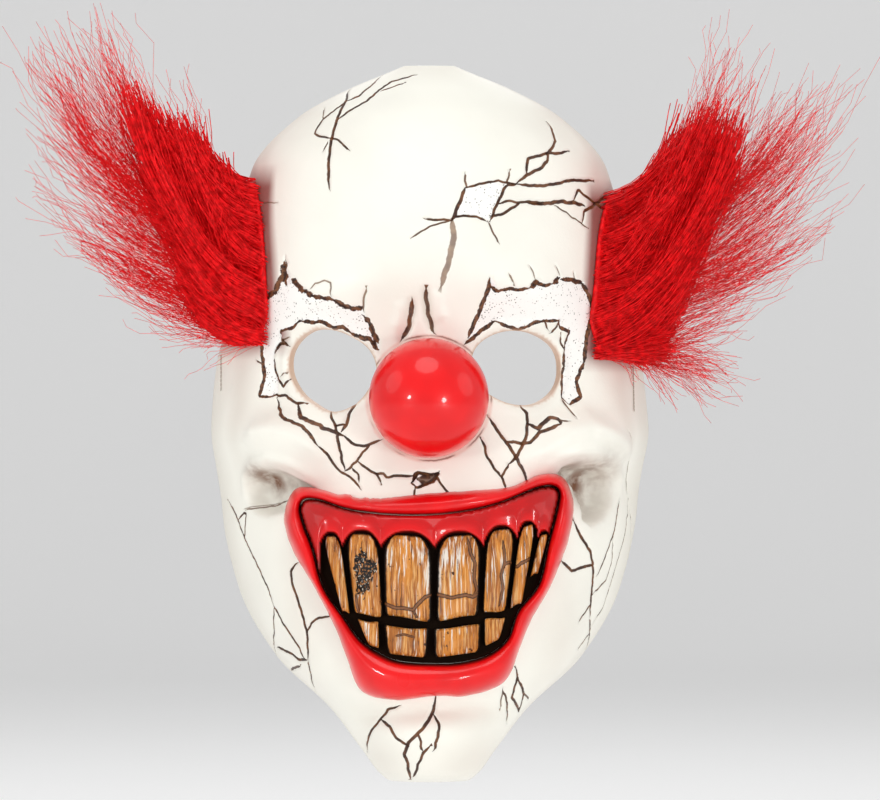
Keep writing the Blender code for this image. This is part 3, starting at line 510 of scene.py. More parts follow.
LEFT_WISP_TIPS = (
    FurTip(97, 12, 16, 1.2, 0.40),
    FurTip(66, 30, 20, 1.2, 0.35),
    FurTip(32, 44, 18, 0.9, 0.25),
    FurTip(26, 76, 18, 0.9, 0.15),
    FurTip(70, 84, 26, 1.4, 0.25),
    FurTip(44, 128, 24, 1.0, -0.05),
    FurTip(28, 168, 14, 0.7, -0.25),
    FurTip(92, 136, 24, 1.2, -0.05),
    FurTip(54, 206, 16, 0.8, -0.50),
    FurTip(104, 186, 22, 1.0, -0.35),
    FurTip(84, 236, 16, 0.8, -0.70),
    FurTip(124, 240, 18, 0.8, -0.75),
    FurTip(140, 284, 14, 0.7, -1.00),
    FurTip(160, 306, 12, 0.5, -1.00),
    FurTip(196, 340, 12, 0.5, -1.00),
    FurTip(232, 334, 8, 0.5, -1.00),
    FurTip(170, 84, 14, 0.6, 0.45),
)
RIGHT_WISP_TIPS = (
    FurTip(728, 84, 12, 0.8, 0.45),
    FurTip(742, 36, 14, 1.2, 0.45),
    FurTip(772, 60, 20, 1.2, 0.35),
    FurTip(812, 84, 20, 1.2, 0.25),
    FurTip(850, 84, 14, 1.0, 0.15),
    FurTip(790, 112, 24, 1.3, 0.15),
    FurTip(840, 126, 18, 0.7, -0.05),
    FurTip(852, 200, 14, 0.8, -0.35),
    FurTip(830, 216, 16, 0.9, -0.45),
    FurTip(786, 196, 24, 1.1, -0.35),
    FurTip(780, 250, 20, 0.8, -0.65),
    FurTip(754, 286, 16, 0.8, -0.85),
    FurTip(730, 318, 16, 0.7, -1.00),
    FurTip(742, 372, 12, 0.6, -1.00),
    FurTip(722, 392, 12, 0.6, -1.00),
    FurTip(696, 366, 14, 0.6, -1.00),
    FurTip(660, 386, 10, 0.5, -1.00),
)


def eased(share):
    """A share from 0 to 1 with soft ends."""
    share = np.clip(share, 0, 1)
    return share * share * (3 - 2 * share)


def smooth_value(places, values, place):
    """The value at a place between given ones, on a smooth curve that never overshoots them."""
    count = len(places)
    if place <= places[0]:
        return values[0]
    if place >= places[-1]:
        return values[-1]
    slopes = [(values[i + 1] - values[i]) / (places[i + 1] - places[i]) for i in range(count - 1)]
    i = next(k for k in range(count - 1) if place <= places[k + 1])

    def tangent(k):
        if k == 0:
            return slopes[0]
        if k == count - 1:
            return slopes[-1]
        before, after = slopes[k - 1], slopes[k]
        return 0.0 if before * after <= 0 else 2 * before * after / (before + after)

    step = places[i + 1] - places[i]
    s = (place - places[i]) / step
    return (
        values[i] * (1 + 2 * s) * (1 - s) ** 2
        + tangent(i) * step * s * (1 - s) ** 2
        + values[i + 1] * s * s * (3 - 2 * s)
        - tangent(i + 1) * step * s * s * (1 - s)
    )


def height_of(share):
    """The height of a share above or below the eye line."""
    return share * (TOP_RISE if share > 0 else CHIN_DROP)


class Face:
    """The outer surface of the face, worked out for many points at once. A point has a turn, the angle
    round from the middle line, and a run, the way down the middle line from the top edge."""

    SAMPLES = 3000

    def __init__(self):
        heights = [height_of(s.height) for s in SECTIONS]
        fronts = [s.front * FACE_DEPTH for s in SECTIONS]
        columns = [heights, [s.half_width * FACE_WIDTH / 2 for s in SECTIONS], fronts]
        columns.append([s.rim * FACE_DEPTH for s in SECTIONS])
        runs = [0.0]
        for i in range(1, len(SECTIONS)):
            runs.append(runs[-1] + hypot(heights[i] - heights[i - 1], fronts[i] - fronts[i - 1]))
        self.length = runs[-1]
        self.runs = np.linspace(0, self.length, self.SAMPLES)
        self.columns = [np.array([smooth_value(runs, c, r) for r in self.runs]) for c in columns]

    def level(self, run):
        """Height, half width, front and rim at runs."""
        return [np.interp(run, self.runs, column) for column in self.columns]

    def rise(self, x, z):
        """How far the broad forms lift the surface."""
        lift = np.zeros_like(x)
        for form in FORMS:
            across, up = x - form.across * FACE_WIDTH / 2, z - height_of(form.up)
            turn = radians(form.turn)
            u = (across * cos(turn) + up * sin(turn)) / (form.wide * FACE_WIDTH / 2)
            v = (up * cos(turn) - across * sin(turn)) / (form.tall * CHIN_DROP)
            lift = lift + form.rise * FACE_DEPTH * np.exp(-u * u - v * v)
        return lift

    def points(self, turn, run, lift=0.0):
        """Points of the surface as rows of x, y and z, stood off it by lift."""
        turn, run = np.asarray(turn, float), np.asarray(run, float)
        z, half_width, front, rim = self.level(run)
        x = half_width * np.sin(turn) / sin(SIDE_TURN)
        y = front + (rim - front) * (1 - np.cos(turn)) / (1 - cos(SIDE_TURN))
        lift = lift + self.rise(x, z)
        return np.stack([x + lift * np.sin(turn), y - lift * np.cos(turn), z + 0 * x], axis=-1)

    def place(self, x, z, lift=0.0):
        """The turns and runs of the points that lie at x and z as seen from the front."""
        x, z = np.asarray(x, float), np.asarray(z, float)
        run = np.interp(-z, -self.columns[0], self.runs)
        half_width = self.level(run)[1]
        aim = x
        for _ in range(10):
            turn = np.arcsin(np.clip(aim * sin(SIDE_TURN) / half_width, -0.9995, 0.9995))
            aim = aim + x - self.points(turn, run, lift)[..., 0]
        return turn, run

    def over(self, x, z, lift):
        """Points that stand off the surface by lift and lie at x and z as seen from the front."""
        turn, run = self.place(x, z, lift)
        return self.points(turn, run, lift)

    def from_photo(self, pixels):
        """The turns and runs of the points that pixels of the photograph show."""
        pixels = np.asarray(pixels, float)
        y = np.zeros(len(pixels))
        for _ in range(8):
            x, z = seen_at(pixels, y)
            turn, run = self.place(x, z)
            y = self.points(turn, run)[..., 1]
        return turn, run

    def flat(self, turn, run):
        """Places in the flat pattern of the face: the way round from the middle line, and the run."""
        return np.stack([turn * self.level(run)[1] / sin(SIDE_TURN), run], axis=-1)

    def unflat(self, flat):
        """The turns and runs of places in the flat pattern."""
        return flat[:, 0] * sin(SIDE_TURN) / self.level(flat[:, 1])[1], flat[:, 1]


def seen_at(pixels, y):
    """The x and z of what pixels of the photograph show, where it lies at y."""
    scale = PIXEL * (1 + y / CAMERA_DISTANCE)
    x = CAMERA_X + (pixels[:, 0] - IMAGE_SIZE[0] / 2) * scale
    z = CAMERA_Z + (IMAGE_SIZE[1] / 2 - pixels[:, 1]) * scale
    return x, z


FACE = Face()


def new_object(name, mesh, material=None):
    """An object for a mesh, in the scene and shaded smooth."""
    piece = bpy.data.objects.new(name, mesh)
    bpy.context.scene.collection.objects.link(piece)
    if material:
        mesh.materials.clear()
        mesh.materials.append(material)
    mesh.shade_smooth()
    return piece


def mesh_of(name, points, faces):
    """A mesh from points and faces."""
    mesh = bpy.data.meshes.new(name)
    mesh.from_pydata([tuple(p) for p in points], [], [tuple(f) for f in faces])
    mesh.validate()
    return mesh


def facing_out(mesh):
    """Turns a closed mesh's faces out."""
    bm = bmesh.new()
    bm.from_mesh(mesh)
    bmesh.ops.recalc_face_normals(bm, faces=bm.faces)
    bm.to_mesh(mesh)
    bm.free()
    return mesh


def set_attribute(mesh, name, values):
    """A colour attribute on the points, of rows of red, green, blue and alpha."""
    attribute = mesh.attributes.new(name, "FLOAT_COLOR", "POINT")
    attribute.data.foreach_set("color", np.asarray(values, np.float32).ravel())


def closed_curve(values, share):
    """A value on the smooth closed curve through evenly spaced ones."""
    count = len(values)
    place = share * count
    i = int(place) % count
    s = place - int(place)
    a, b, c, d = (values[(i + k) % count] for k in (-1, 0, 1, 2))
    return 0.5 * (2 * b + (c - a) * s + (2 * a - 5 * b + 4 * c - d) * s * s + (3 * b - a - 3 * c + d) * s**3)


def mouth_place(across, up):
    """x and z of a place in the mouth."""
    return across * MOUTH_WIDTH / 2, MOUTH_Z + up * MOUTH_HEIGHT / 2


def lip_sections(count):
    """The lip's sections, smoothed to a count of them."""
    columns = list(zip(*LIP_SECTIONS))
    return [LipSection(*(closed_curve(column, k / count) for column in columns)) for k in range(count)]


def distance_to_path(places, path, reach):
    """How far places lie from a path of points, and how far along it, from 0 to 1. Places outside reach
    get that distance."""
    distance = np.full(len(places), reach)
    along = np.zeros(len(places))
    low, high = path.min(axis=0) - reach, path.max(axis=0) + reach
    near = np.nonzero(np.all((places >= low) & (places <= high), axis=1))[0]
    if not len(near):
        return distance, along
    spot = places[near]
    steps = np.hypot(*np.diff(path, axis=0).T)
    starts = np.concatenate([[0], np.cumsum(steps)])
    best = np.full(len(near), reach)
    where = np.zeros(len(near))
    for a, b, start, step in zip(path, path[1:], starts, steps):
        way = (b - a) / max(step, 1e-9)
        s = np.clip((spot - a) @ way, 0, step)
        d = np.hypot(*(spot - a - s[:, None] * way).T)
        closer = d < best
        best[closer] = d[closer]
        where[closer] = (start + s[closer]) / starts[-1]
    distance[near], along[near] = best, where
    return distance, along


def inside(places, outline):
    """Which places lie inside a closed outline."""
    x, y = places[:, 0], places[:, 1]
    crossed = np.zeros(len(places), bool)
    for (ax, ay), (bx, by) in zip(outline, np.roll(outline, -1, axis=0)):
        level = (ay > y) != (by > y)
        with np.errstate(divide="ignore", invalid="ignore"):
            crossing = ax + (y - ay) * (bx - ax) / (by - ay)
        crossed ^= level & (x < crossing)
    return crossed


def resampled(path, step, closed=False):
    """Points a step apart along a path."""
    path = np.asarray(path, float)
    if closed:
        path = np.vstack([path, path[:1]])
    steps = np.hypot(*np.diff(path, axis=0).T)
    starts = np.concatenate([[0], np.cumsum(steps)])
    count = max(2, int(round(starts[-1] / step)) + 1)
    at = np.linspace(0, starts[-1], count)
    points = np.stack([np.interp(at, starts, path[:, k]) for k in (0, 1)], axis=-1)
    return points[:-1] if closed else points


def wobbled(path, random, size):
    """A path with a small sideways wander that leaves its ends in place."""
    wander = random.normal(0, size, path.shape)
    wander[0] = wander[-1] = 0
    smooth = wander.copy()
    smooth[1:-1] = (wander[:-2] + 2 * wander[1:-1] + wander[2:]) / 3
    return path + smooth


def eye_outline(centre_x, side, count):
    """The edge of an eye opening in x and z, side being the column of EYE_EDGE."""
    turns = [row.turn for row in EYE_EDGE] + [360]
    shares = [getattr(row, side) for row in EYE_EDGE]
    shares.append(shares[0])
    outline = []
    for k in range(count):
        turn = 360 * k / count
        share = smooth_value(turns, shares, turn)
        share = share * EYE_OPEN
        x = centre_x + share * EYE_WIDTH / 2 * cos(radians(turn))
        outline.append((x, EYE_Z + share * EYE_HEIGHT / 2 * sin(radians(turn))))
    return np.array(outline)


class Graph:
    """A short way to write a tree of shader or geometry nodes."""

    def __init__(self, tree):
        self.tree = tree

    def add(self, kind, *values, out=0, **settings):
        """A node, its inputs set or linked in order, None leaving one alone. Gives one of its outputs."""
        node = self.tree.nodes.new(kind)
        named = settings.pop("inputs", {})
        for key, value in settings.items():
            setattr(node, key, value)
        for place, value in list(enumerate(values)) + list(named.items()):
            if value is not None:
                self.feed(node.inputs[place], value)
        return node.outputs[out]

    def feed(self, socket, value):
        """Links a socket or sets its value."""
        if isinstance(value, bpy.types.NodeSocket):
            self.tree.links.new(value, socket)
        else:
            socket.default_value = value

    def math(self, operation, first, second=None, clamp=False):
        return self.add("ShaderNodeMath", first, second, operation=operation, use_clamp=clamp)

    def mix(self, share, first, second, blend="MIX"):
        """A mix of two colours."""
        node = self.tree.nodes.new("ShaderNodeMix")
        node.data_type = "RGBA"
        node.blend_type = blend
        for place, value in ((0, share), (6, first), (7, second)):
            self.feed(node.inputs[place], value)
        return node.outputs[2]

    def noise(self, vector, scale, detail=3.0, roughness=0.5, colour=False):
        inputs = {"Vector": vector, "Scale": scale, "Detail": detail, "Roughness": roughness}
        return self.add("ShaderNodeTexNoise", inputs=inputs, out=1 if colour else 0)

    def range(self, value, low, high, to_low=0.0, to_high=1.0, smooth=True):
        kind = "SMOOTHSTEP" if smooth else "LINEAR"
        return self.add("ShaderNodeMapRange", value, low, high, to_low, to_high, interpolation_type=kind)

    def scaled(self, vector, scale):
        """A vector stretched along each axis, as a grain is."""
        return self.add("ShaderNodeMapping", vector, inputs={"Scale": scale})

    def bump(self, height, strength, distance, normal=None):
        inputs = {"Height": height, "Strength": strength, "Distance": distance}
        if normal:
            inputs["Normal"] = normal
        return self.add("ShaderNodeBump", inputs=inputs)

    def channels(self, attribute):
        """The red, green, blue and alpha of an attribute."""
        node = self.tree.nodes.new("ShaderNodeAttribute")
        node.attribute_name = attribute
        split = self.tree.nodes.new("ShaderNodeSeparateColor")
        self.tree.links.new(node.outputs["Color"], split.inputs[0])
        return [split.outputs[k] for k in range(3)] + [node.outputs["Alpha"]]


def new_material(name, roughness=0.5, specular=0.5, **fixed):
    """A Principled material with its graph, its shader and its object coordinates."""
    material = bpy.data.materials.new(name)
    material.use_nodes = True
    tree = material.node_tree
    shader = tree.nodes["Principled BSDF"]
    shader.inputs["Roughness"].default_value = roughness
    shader.inputs["Specular IOR Level"].default_value = specular
    for key, value in fixed.items():
        shader.inputs[key.replace("_", " ").title()].default_value = value
    graph = Graph(tree)
    place = graph.add("ShaderNodeTexCoord", out=3)
    return material, graph, shader, place


def rgb(colour):
    """A colour property as red, green, blue and alpha."""
    return (*colour, 1.0)


class MaskSettings(bpy.types.PropertyGroup):
    """Sizes and colours of the mask's finish"""

    ivory: bpy.props.FloatVectorProperty(
        name="Ivory", description="Paint of the face", subtype="COLOR", size=3, default=(0.90, 0.885, 0.80)
    )
    crack_brown: bpy.props.FloatVectorProperty(
        name="Crack brown", description="Paint rubbed into the cracks", subtype="COLOR", size=3,
        default=(0.050, 0.018, 0.008),
    )
    gloss_red: bpy.props.FloatVectorProperty(
        name="Gloss red", description="Paint of the nose and lips", subtype="COLOR", size=3,
        default=(0.82, 0.003, 0.005),
    )
    gum_red: bpy.props.FloatVectorProperty(
        name="Gum red", description="Paint of the gum", subtype="COLOR", size=3, default=(0.62, 0.004, 0.006)
    )
    amber: bpy.props.FloatVectorProperty(
        name="Amber", description="Stained colour of the teeth", subtype="COLOR", size=3,
        default=(0.62, 0.225, 0.030),
    )
    fur_red: bpy.props.FloatVectorProperty(
        name="Fur red", description="Colour of the fur", subtype="COLOR", size=3, default=(0.95, 0.008, 0.012)
    )
    skin_step: bpy.props.FloatProperty(
        name="Skin step", description="Distance between the points of the face", unit="LENGTH",
        default=0.00105, min=0.0005,
    )
    crack_depth: bpy.props.FloatProperty(
        name="Crack depth", description="How deep the widest crack is", unit="LENGTH", default=0.0007
    )
    patch_depth: bpy.props.FloatProperty(
        name="Patch depth", description="How far the torn patches lie below the skin", unit="LENGTH",
        default=0.0007,
    )
    dense_strands: bpy.props.IntProperty(
        name="Dense strands", description="Strands to each guide in the dense fur", default=26
    )
    wisp_strands: bpy.props.IntProperty(
        name="Wisp strands", description="Strands to each guide in the loose fur", default=8
    )
    strand_radius: bpy.props.FloatProperty(
        name="Strand radius", description="Half the thickness of a strand of fur", unit="LENGTH",
        default=0.00017,
    )


def settings():
    """The scene's mask settings."""
    return bpy.context.scene.clown_mask


def latex_material():
    """Ivory paint on latex: stained, with painted shade and the fur tufts' painted shadow, cracked, torn and
    stippled as its attributes say.
    """
    own = settings()
    material, g, shader, place = new_material("painted_latex", roughness=0.42, specular=0.45)
    crack, patch, torn, edge = g.channels("paint")
    # Brown stain, grey painted shade, pink, and the dark red painted shadow of the fur
    brown, grey, pink, red = g.channels("stain_and_shade")
    tone = g.channels("tone")[0]
    cloud = g.noise(place, 22, 3)
    fine = g.noise(place, 900, 2)
    ragged = g.math("SUBTRACT", g.noise(place, 520, 3), 0.5)
    near = g.math("MULTIPLY", g.math("MINIMUM", g.math("MULTIPLY", crack, 6.0), 1.0), 0.5)
    crack = g.range(g.math("ADD", crack, g.math("MULTIPLY", ragged, near)), 0.14, 0.38)
    patch = g.range(g.math("ADD", patch, g.math("MULTIPLY", ragged, 0.3)), 0.20, 0.45)
    near = g.math("MULTIPLY", g.math("MINIMUM", g.math("MULTIPLY", torn, 6.0), 1.0), 1.5)
    torn = g.range(g.math("ADD", torn, g.math("MULTIPLY", ragged, near)), 0.20, 0.34)
    base = g.mix(g.range(cloud, 0.35, 0.7, 0, 0.55), rgb(own.ivory), (0.80, 0.775, 0.70, 1))
    # Beige-grey painted shade
    base = g.mix(g.math("MULTIPLY", grey, 0.75), base, (0.52, 0.46, 0.37, 1))
    base = g.mix(g.math("MULTIPLY", pink, 0.6), base, (0.72, 0.42, 0.36, 1))
    # Dark red painted shadow of the fur tufts on the face
    base = g.mix(red, base, (0.20, 0.010, 0.006, 1))
    blotch = g.range(g.noise(place, 260, 4), 0.30, 0.62)
    stain = g.math("MULTIPLY", brown, g.math("ADD", 0.55, g.math("MULTIPLY", blotch, 0.5)), clamp=True)
    base = g.mix(stain, base, (0.170, 0.062, 0.022, 1))
    dots = g.add("ShaderNodeTexVoronoi", inputs={"Vector": place, "Scale": 1150.0})
    dark_dots = g.math("MULTIPLY", g.range(dots, 0.34, 0.16), g.range(g.noise(place, 420, 2), 0.46, 0.60))
    stipple = g.mix(dark_dots, (0.93, 0.92, 0.88, 1), (0.10, 0.085, 0.07, 1))
    base = g.mix(patch, base, stipple)
    rust_grain = g.range(g.noise(place, 700, 3), 0.38, 0.62)
    rust = g.mix(rust_grain, (0.030, 0.009, 0.004, 1), (0.17, 0.060, 0.018, 1))
    base = g.mix(torn, base, rust)
    light_blotch = g.range(g.noise(place, 240, 2), 0.40, 0.72)
    light_brown = g.mix(light_blotch, (0.16, 0.068, 0.028, 1), (0.34, 0.20, 0.10, 1))
    dark_blotch = g.range(g.noise(place, 300, 2), 0.42, 0.62)
    dark_brown = g.mix(dark_blotch, rgb(own.crack_brown), (0.17, 0.062, 0.020, 1))
    crack_tone = g.mix(g.range(tone, 0.3, 0.85), light_brown, dark_brown)
    base = g.mix(g.math("MULTIPLY", crack, g.range(tone, 0.0, 0.7, 0.35, 1.0)), base, crack_tone)
    split = g.tree.nodes.new("ShaderNodeSeparateXYZ")
    g.feed(split.inputs[0], place)
    up = g.math("SUBTRACT", split.outputs[2], NOSE_Z)
    across_squared = g.math("MULTIPLY", split.outputs[0], split.outputs[0])
    away = g.math("SQRT", g.math("ADD", across_squared, g.math("MULTIPLY", up, up)))
    away = g.math("ADD", g.math("SUBTRACT", away, NOSE_RADIUS), g.math("MULTIPLY", ragged, 0.0006))
    halo = g.math("MULTIPLY", g.range(away, 0.0022, 0.0010), 0.55)
    base = g.mix(halo, base, (0.78, 0.50, 0.42, 1))
    line = g.math("MULTIPLY", g.range(away, 0.0006, 0.0009), g.range(away, 0.0015, 0.0011))
    line = g.math("MULTIPLY", line, g.range(g.noise(place, 70, 2), 0.42, 0.56))
    base = g.mix(g.math("MULTIPLY", line, 0.75), base, (0.16, 0.055, 0.030, 1))
    base = g.mix(edge, base, (0.62, 0.40, 0.27, 1))
    g.feed(shader.inputs["Base Color"], base)
    rough = g.math("ADD", 0.34, g.math("MULTIPLY", fine, 0.16))
    g.feed(shader.inputs["Roughness"], g.math("ADD", rough, g.math("MULTIPLY", patch, 0.25)))
    pits = g.math("ADD", g.math("MULTIPLY", fine, 0.5), g.math("MULTIPLY", g.noise(place, 160, 3), 0.9))
    pits = g.math("SUBTRACT", pits, g.math("MULTIPLY", g.math("MULTIPLY", dark_dots, patch), 1.6))
    rubble = g.math("MULTIPLY", torn, g.noise(place, 1300, 3))
    pits = g.math("ADD", pits, g.math("MULTIPLY", rubble, 2.0))
    g.feed(shader.inputs["Normal"], g.bump(pits, 0.35, 0.00025))
    return material


def bare_latex_material():
    """The unpainted inner side of the face: cream latex with brush and pour marks."""
    material, g, shader, place = new_material("bare_latex", roughness=0.6)
    marks = g.noise(g.scaled(place, (1, 1, 0.35)), 60, 4)
    base = g.mix(g.range(marks, 0.3, 0.7), (0.70, 0.60, 0.44, 1), (0.82, 0.74, 0.58, 1))
    base = g.mix(g.range(g.noise(place, 14, 2), 0.5, 0.75, 0, 0.5), base, (0.55, 0.42, 0.27, 1))
    g.feed(shader.inputs["Base Color"], base)
    g.feed(shader.inputs["Normal"], g.bump(g.noise(place, 350, 4), 0.3, 0.0004))
    return material


def gloss_material(name, colour, darker):
    """Thick glossy paint with small bubbles, dimples and a slight flow."""
    material, g, shader, place = new_material(
        name, roughness=0.3, specular=0.2, coat_weight=0.5, coat_roughness=0.05,
    )
    spots = g.add("ShaderNodeTexVoronoi", inputs={"Vector": place, "Scale": 160.0})
    bubbles = g.math("MULTIPLY", g.range(spots, 0.16, 0.05), g.range(g.noise(place, 90, 1), 0.55, 0.62))
    flow = g.noise(place, 70, 2)
    base = g.mix(g.range(flow, 0.35, 0.70, 0, 0.5), rgb(colour), darker)
    g.feed(shader.inputs["Base Color"], base)
    g.feed(shader.inputs["Roughness"], g.math("ADD", 0.24, g.math("MULTIPLY", flow, 0.14)))
    height = g.math("ADD", g.math("MULTIPLY", bubbles, 0.6), g.math("MULTIPLY", flow, 0.8))
    g.feed(shader.inputs["Normal"], g.bump(height, 0.25, 0.0008))
    return material, g, shader, base


def nose_material():
    own = settings()
    return gloss_material("nose_gloss", own.gloss_red, (0.62, 0.002, 0.004, 1))[0]


def lip_material():
    """Glossy lip paint with the dark line at its inner edge."""
    own = settings()
    material, g, shader, base = gloss_material("lip_gloss", own.gloss_red, (0.58, 0.002, 0.004, 1))
    line = g.channels("paint")[0]
    base = g.mix(line, base, (0.045, 0.008, 0.005, 1))
    g.feed(shader.inputs["Base Color"], base)
    return material


def gum_material():
    """Dark red gum, with black-brown paint in the gaps round the teeth."""
    own = settings()
    material, g, shader, base = gloss_material("gum_gloss", own.gum_red, (0.34, 0.006, 0.006, 1))
    gap, line, bright, _ = g.channels("paint")
    base = g.mix(g.math("MULTIPLY", bright, 0.8), base, rgb(own.gloss_red))
    base = g.mix(gap, base, (0.010, 0.006, 0.004, 1))
    base = g.mix(line, base, (0.030, 0.008, 0.005, 1))
    g.feed(shader.inputs["Base Color"], base)
    g.feed(shader.inputs["Roughness"], g.math("ADD", 0.26, g.math("MULTIPLY", gap, 0.55)))
    g.feed(shader.inputs["Coat Weight"], g.math("MULTIPLY", g.math("SUBTRACT", 1.0, gap), 0.4))
    g.feed(shader.inputs["Specular IOR Level"], g.math("MULTIPLY", g.math("SUBTRACT", 1.0, gap), 0.22))
    return material


def tooth_material():
    """Stained teeth with long streaks of amber, tan, white and brown from root to edge."""
    own = settings()
    material, g, shader, place = new_material(
        "streaked_tooth", roughness=0.4, specular=0.3, coat_weight=0.12, coat_roughness=0.15,
    )
    dark, hole, crack, pale = g.channels("paint")
    wander = g.noise(place, 90, 2, colour=True)
    bent = g.mix(0.0012, place, wander)
    streak = g.noise(g.scaled(bent, (1500, 300, 60)), 1, 4, 0.65)
    wide_streak = g.noise(g.scaled(bent, (520, 200, 26)), 1, 3)
    white_streak = g.noise(g.scaled(bent, (1100, 240, 40)), 1.3, 3)
    base = g.mix(g.range(wide_streak, 0.38, 0.62), (0.34, 0.105, 0.014, 1), rgb(own.amber))
    base = g.mix(g.range(streak, 0.50, 0.62, 0, 0.7), base, (0.78, 0.44, 0.16, 1))
    white = g.math("ADD", white_streak, g.math("MULTIPLY", pale, 0.13))
    base = g.mix(g.range(white, 0.57, 0.68, 0, 0.9), base, (0.80, 0.76, 0.68, 1))
    base = g.mix(g.range(streak, 0.43, 0.36, 0, 0.85), base, (0.085, 0.024, 0.006, 1))
    base = g.mix(g.range(g.noise(place, 420, 3), 0.66, 0.72), base, (0.05, 0.015, 0.005, 1))
    ragged = g.math("SUBTRACT", g.noise(place, 620, 3), 0.5)
    edge = g.math("ADD", dark, g.math("MULTIPLY", ragged, 0.8))
    base = g.mix(g.range(edge, 0.20, 0.75), base, (0.010, 0.006, 0.004, 1))
    rubble = g.noise(place, 1100, 3)
    cavity = g.mix(g.range(rubble, 0.54, 0.62), (0.008, 0.005, 0.004, 1), (0.42, 0.17, 0.05, 1))
    cavity = g.mix(g.range(g.noise(place, 900, 2), 0.60, 0.66), cavity, (0.65, 0.58, 0.48, 1))
    base = g.mix(g.range(g.math("ADD", hole, g.math("MULTIPLY", ragged, 1.2)), 0.25, 0.45), base, cavity)
    split = g.math("ADD", crack, g.math("MULTIPLY", ragged, 0.5))
    base = g.mix(g.range(split, 0.14, 0.30, 0, 0.9), base, (0.035, 0.011, 0.005, 1))
    base = g.mix(g.range(split, 0.50, 0.72, 0, 0.8), base, (0.26, 0.10, 0.035, 1))
    g.feed(shader.inputs["Base Color"], base)
    height = g.math("ADD", streak, g.math("MULTIPLY", g.math("MULTIPLY", rubble, hole), 3.0))
    g.feed(shader.inputs["Normal"], g.bump(height, 0.5, 0.0005))
    return material


def fur_material():
    """Red synthetic fur, lighter and darker from strand to strand, glowing faintly in its own colour as
    painted light for the light scattered between strands.
    """
    own = settings()
    # A faint glow in the fur's own colour: painted light that stands in for light scattered between strands
    material, g, shader, place = new_material("red_fur", roughness=0.55, specular=0.2, emission_strength=0.10)
    tone = g.noise(place, 420, 2)
    base = g.mix(g.range(tone, 0.30, 0.70), (0.50, 0.001, 0.002, 1), rgb(own.fur_red))
    g.feed(shader.inputs["Base Color"], base)
    g.feed(shader.inputs["Emission Color"], base)
    return material


def elastic_material():
    """Black woven elastic, ribbed along its length, from the strap's own map."""
    material, g, shader, _ = new_material("woven_elastic", roughness=0.8, sheen_weight=0.3)
    place = g.add("ShaderNodeTexCoord", out=2)
    split = g.tree.nodes.new("ShaderNodeSeparateXYZ")
    g.feed(split.inputs[0], place)
    ribs = g.math("SINE", g.math("MULTIPLY", split.outputs[1], 2 * pi * 9))
    threads = g.math("SINE", g.math("MULTIPLY", split.outputs[0], 2 * pi * 260))
    weave = g.math("MULTIPLY", ribs, threads)
    base = g.mix(g.range(weave, -0.6, 0.8), (0.008, 0.008, 0.009, 1), (0.045, 0.045, 0.050, 1))
    g.feed(shader.inputs["Base Color"], base)
    height = g.math("ADD", ribs, g.math("MULTIPLY", weave, 0.5))
    g.feed(shader.inputs["Normal"], g.bump(height, 0.6, 0.0004))
    return material


def thread_material():
    """Twisted cotton thread."""
    material, g, shader, place = new_material("cream_thread", roughness=0.75)
    twist = g.noise(g.scaled(place, (1, 1, 4)), 1500, 2)
    g.feed(shader.inputs["Base Color"], g.mix(twist, (0.20, 0.16, 0.12, 1), (0.62, 0.55, 0.45, 1)))
    g.feed(shader.inputs["Normal"], g.bump(twist, 0.4, 0.0002))
    return material


def crack_paths(cracks, random, swell):
    """Each crack with its path laid on the flat pattern of the face and given a fine wander."""
    laid = []
    for crack in cracks:
        path = FACE.flat(*FACE.from_photo(crack.path))
        path = wobbled(resampled(path, 0.9 * MM), random, 0.16 * MM)
        laid.append((crack.width * PIXEL * swell, crack.tone, path))
    return laid


def offset_path(path, width):
    """The two lines beside a path, width apart, that close in towards its ends."""
    way = np.gradient(path, axis=0)
    way /= np.maximum(np.hypot(*way.T), 1e-9)[:, None]
    side = np.stack([-way[:, 1], way[:, 0]], axis=-1) * width / 2
    share = np.linspace(0, 1, len(path))
    taper = np.clip(np.minimum(share, 1 - share) * 6 + 0.35, 0, 1)[:, None]
    return path + side * taper, path - side * taper


def crack_profile(places, width, path):
    """1 at the middle of a crack, 0 from its edge on, with narrower ends."""
    distance, along = distance_to_path(places, path, width)
    taper = np.clip(np.minimum(along, 1 - along) * 6 + 0.35, 0, 1)
    return np.clip(1 - distance / (width / 2 * taper), 0, 1)


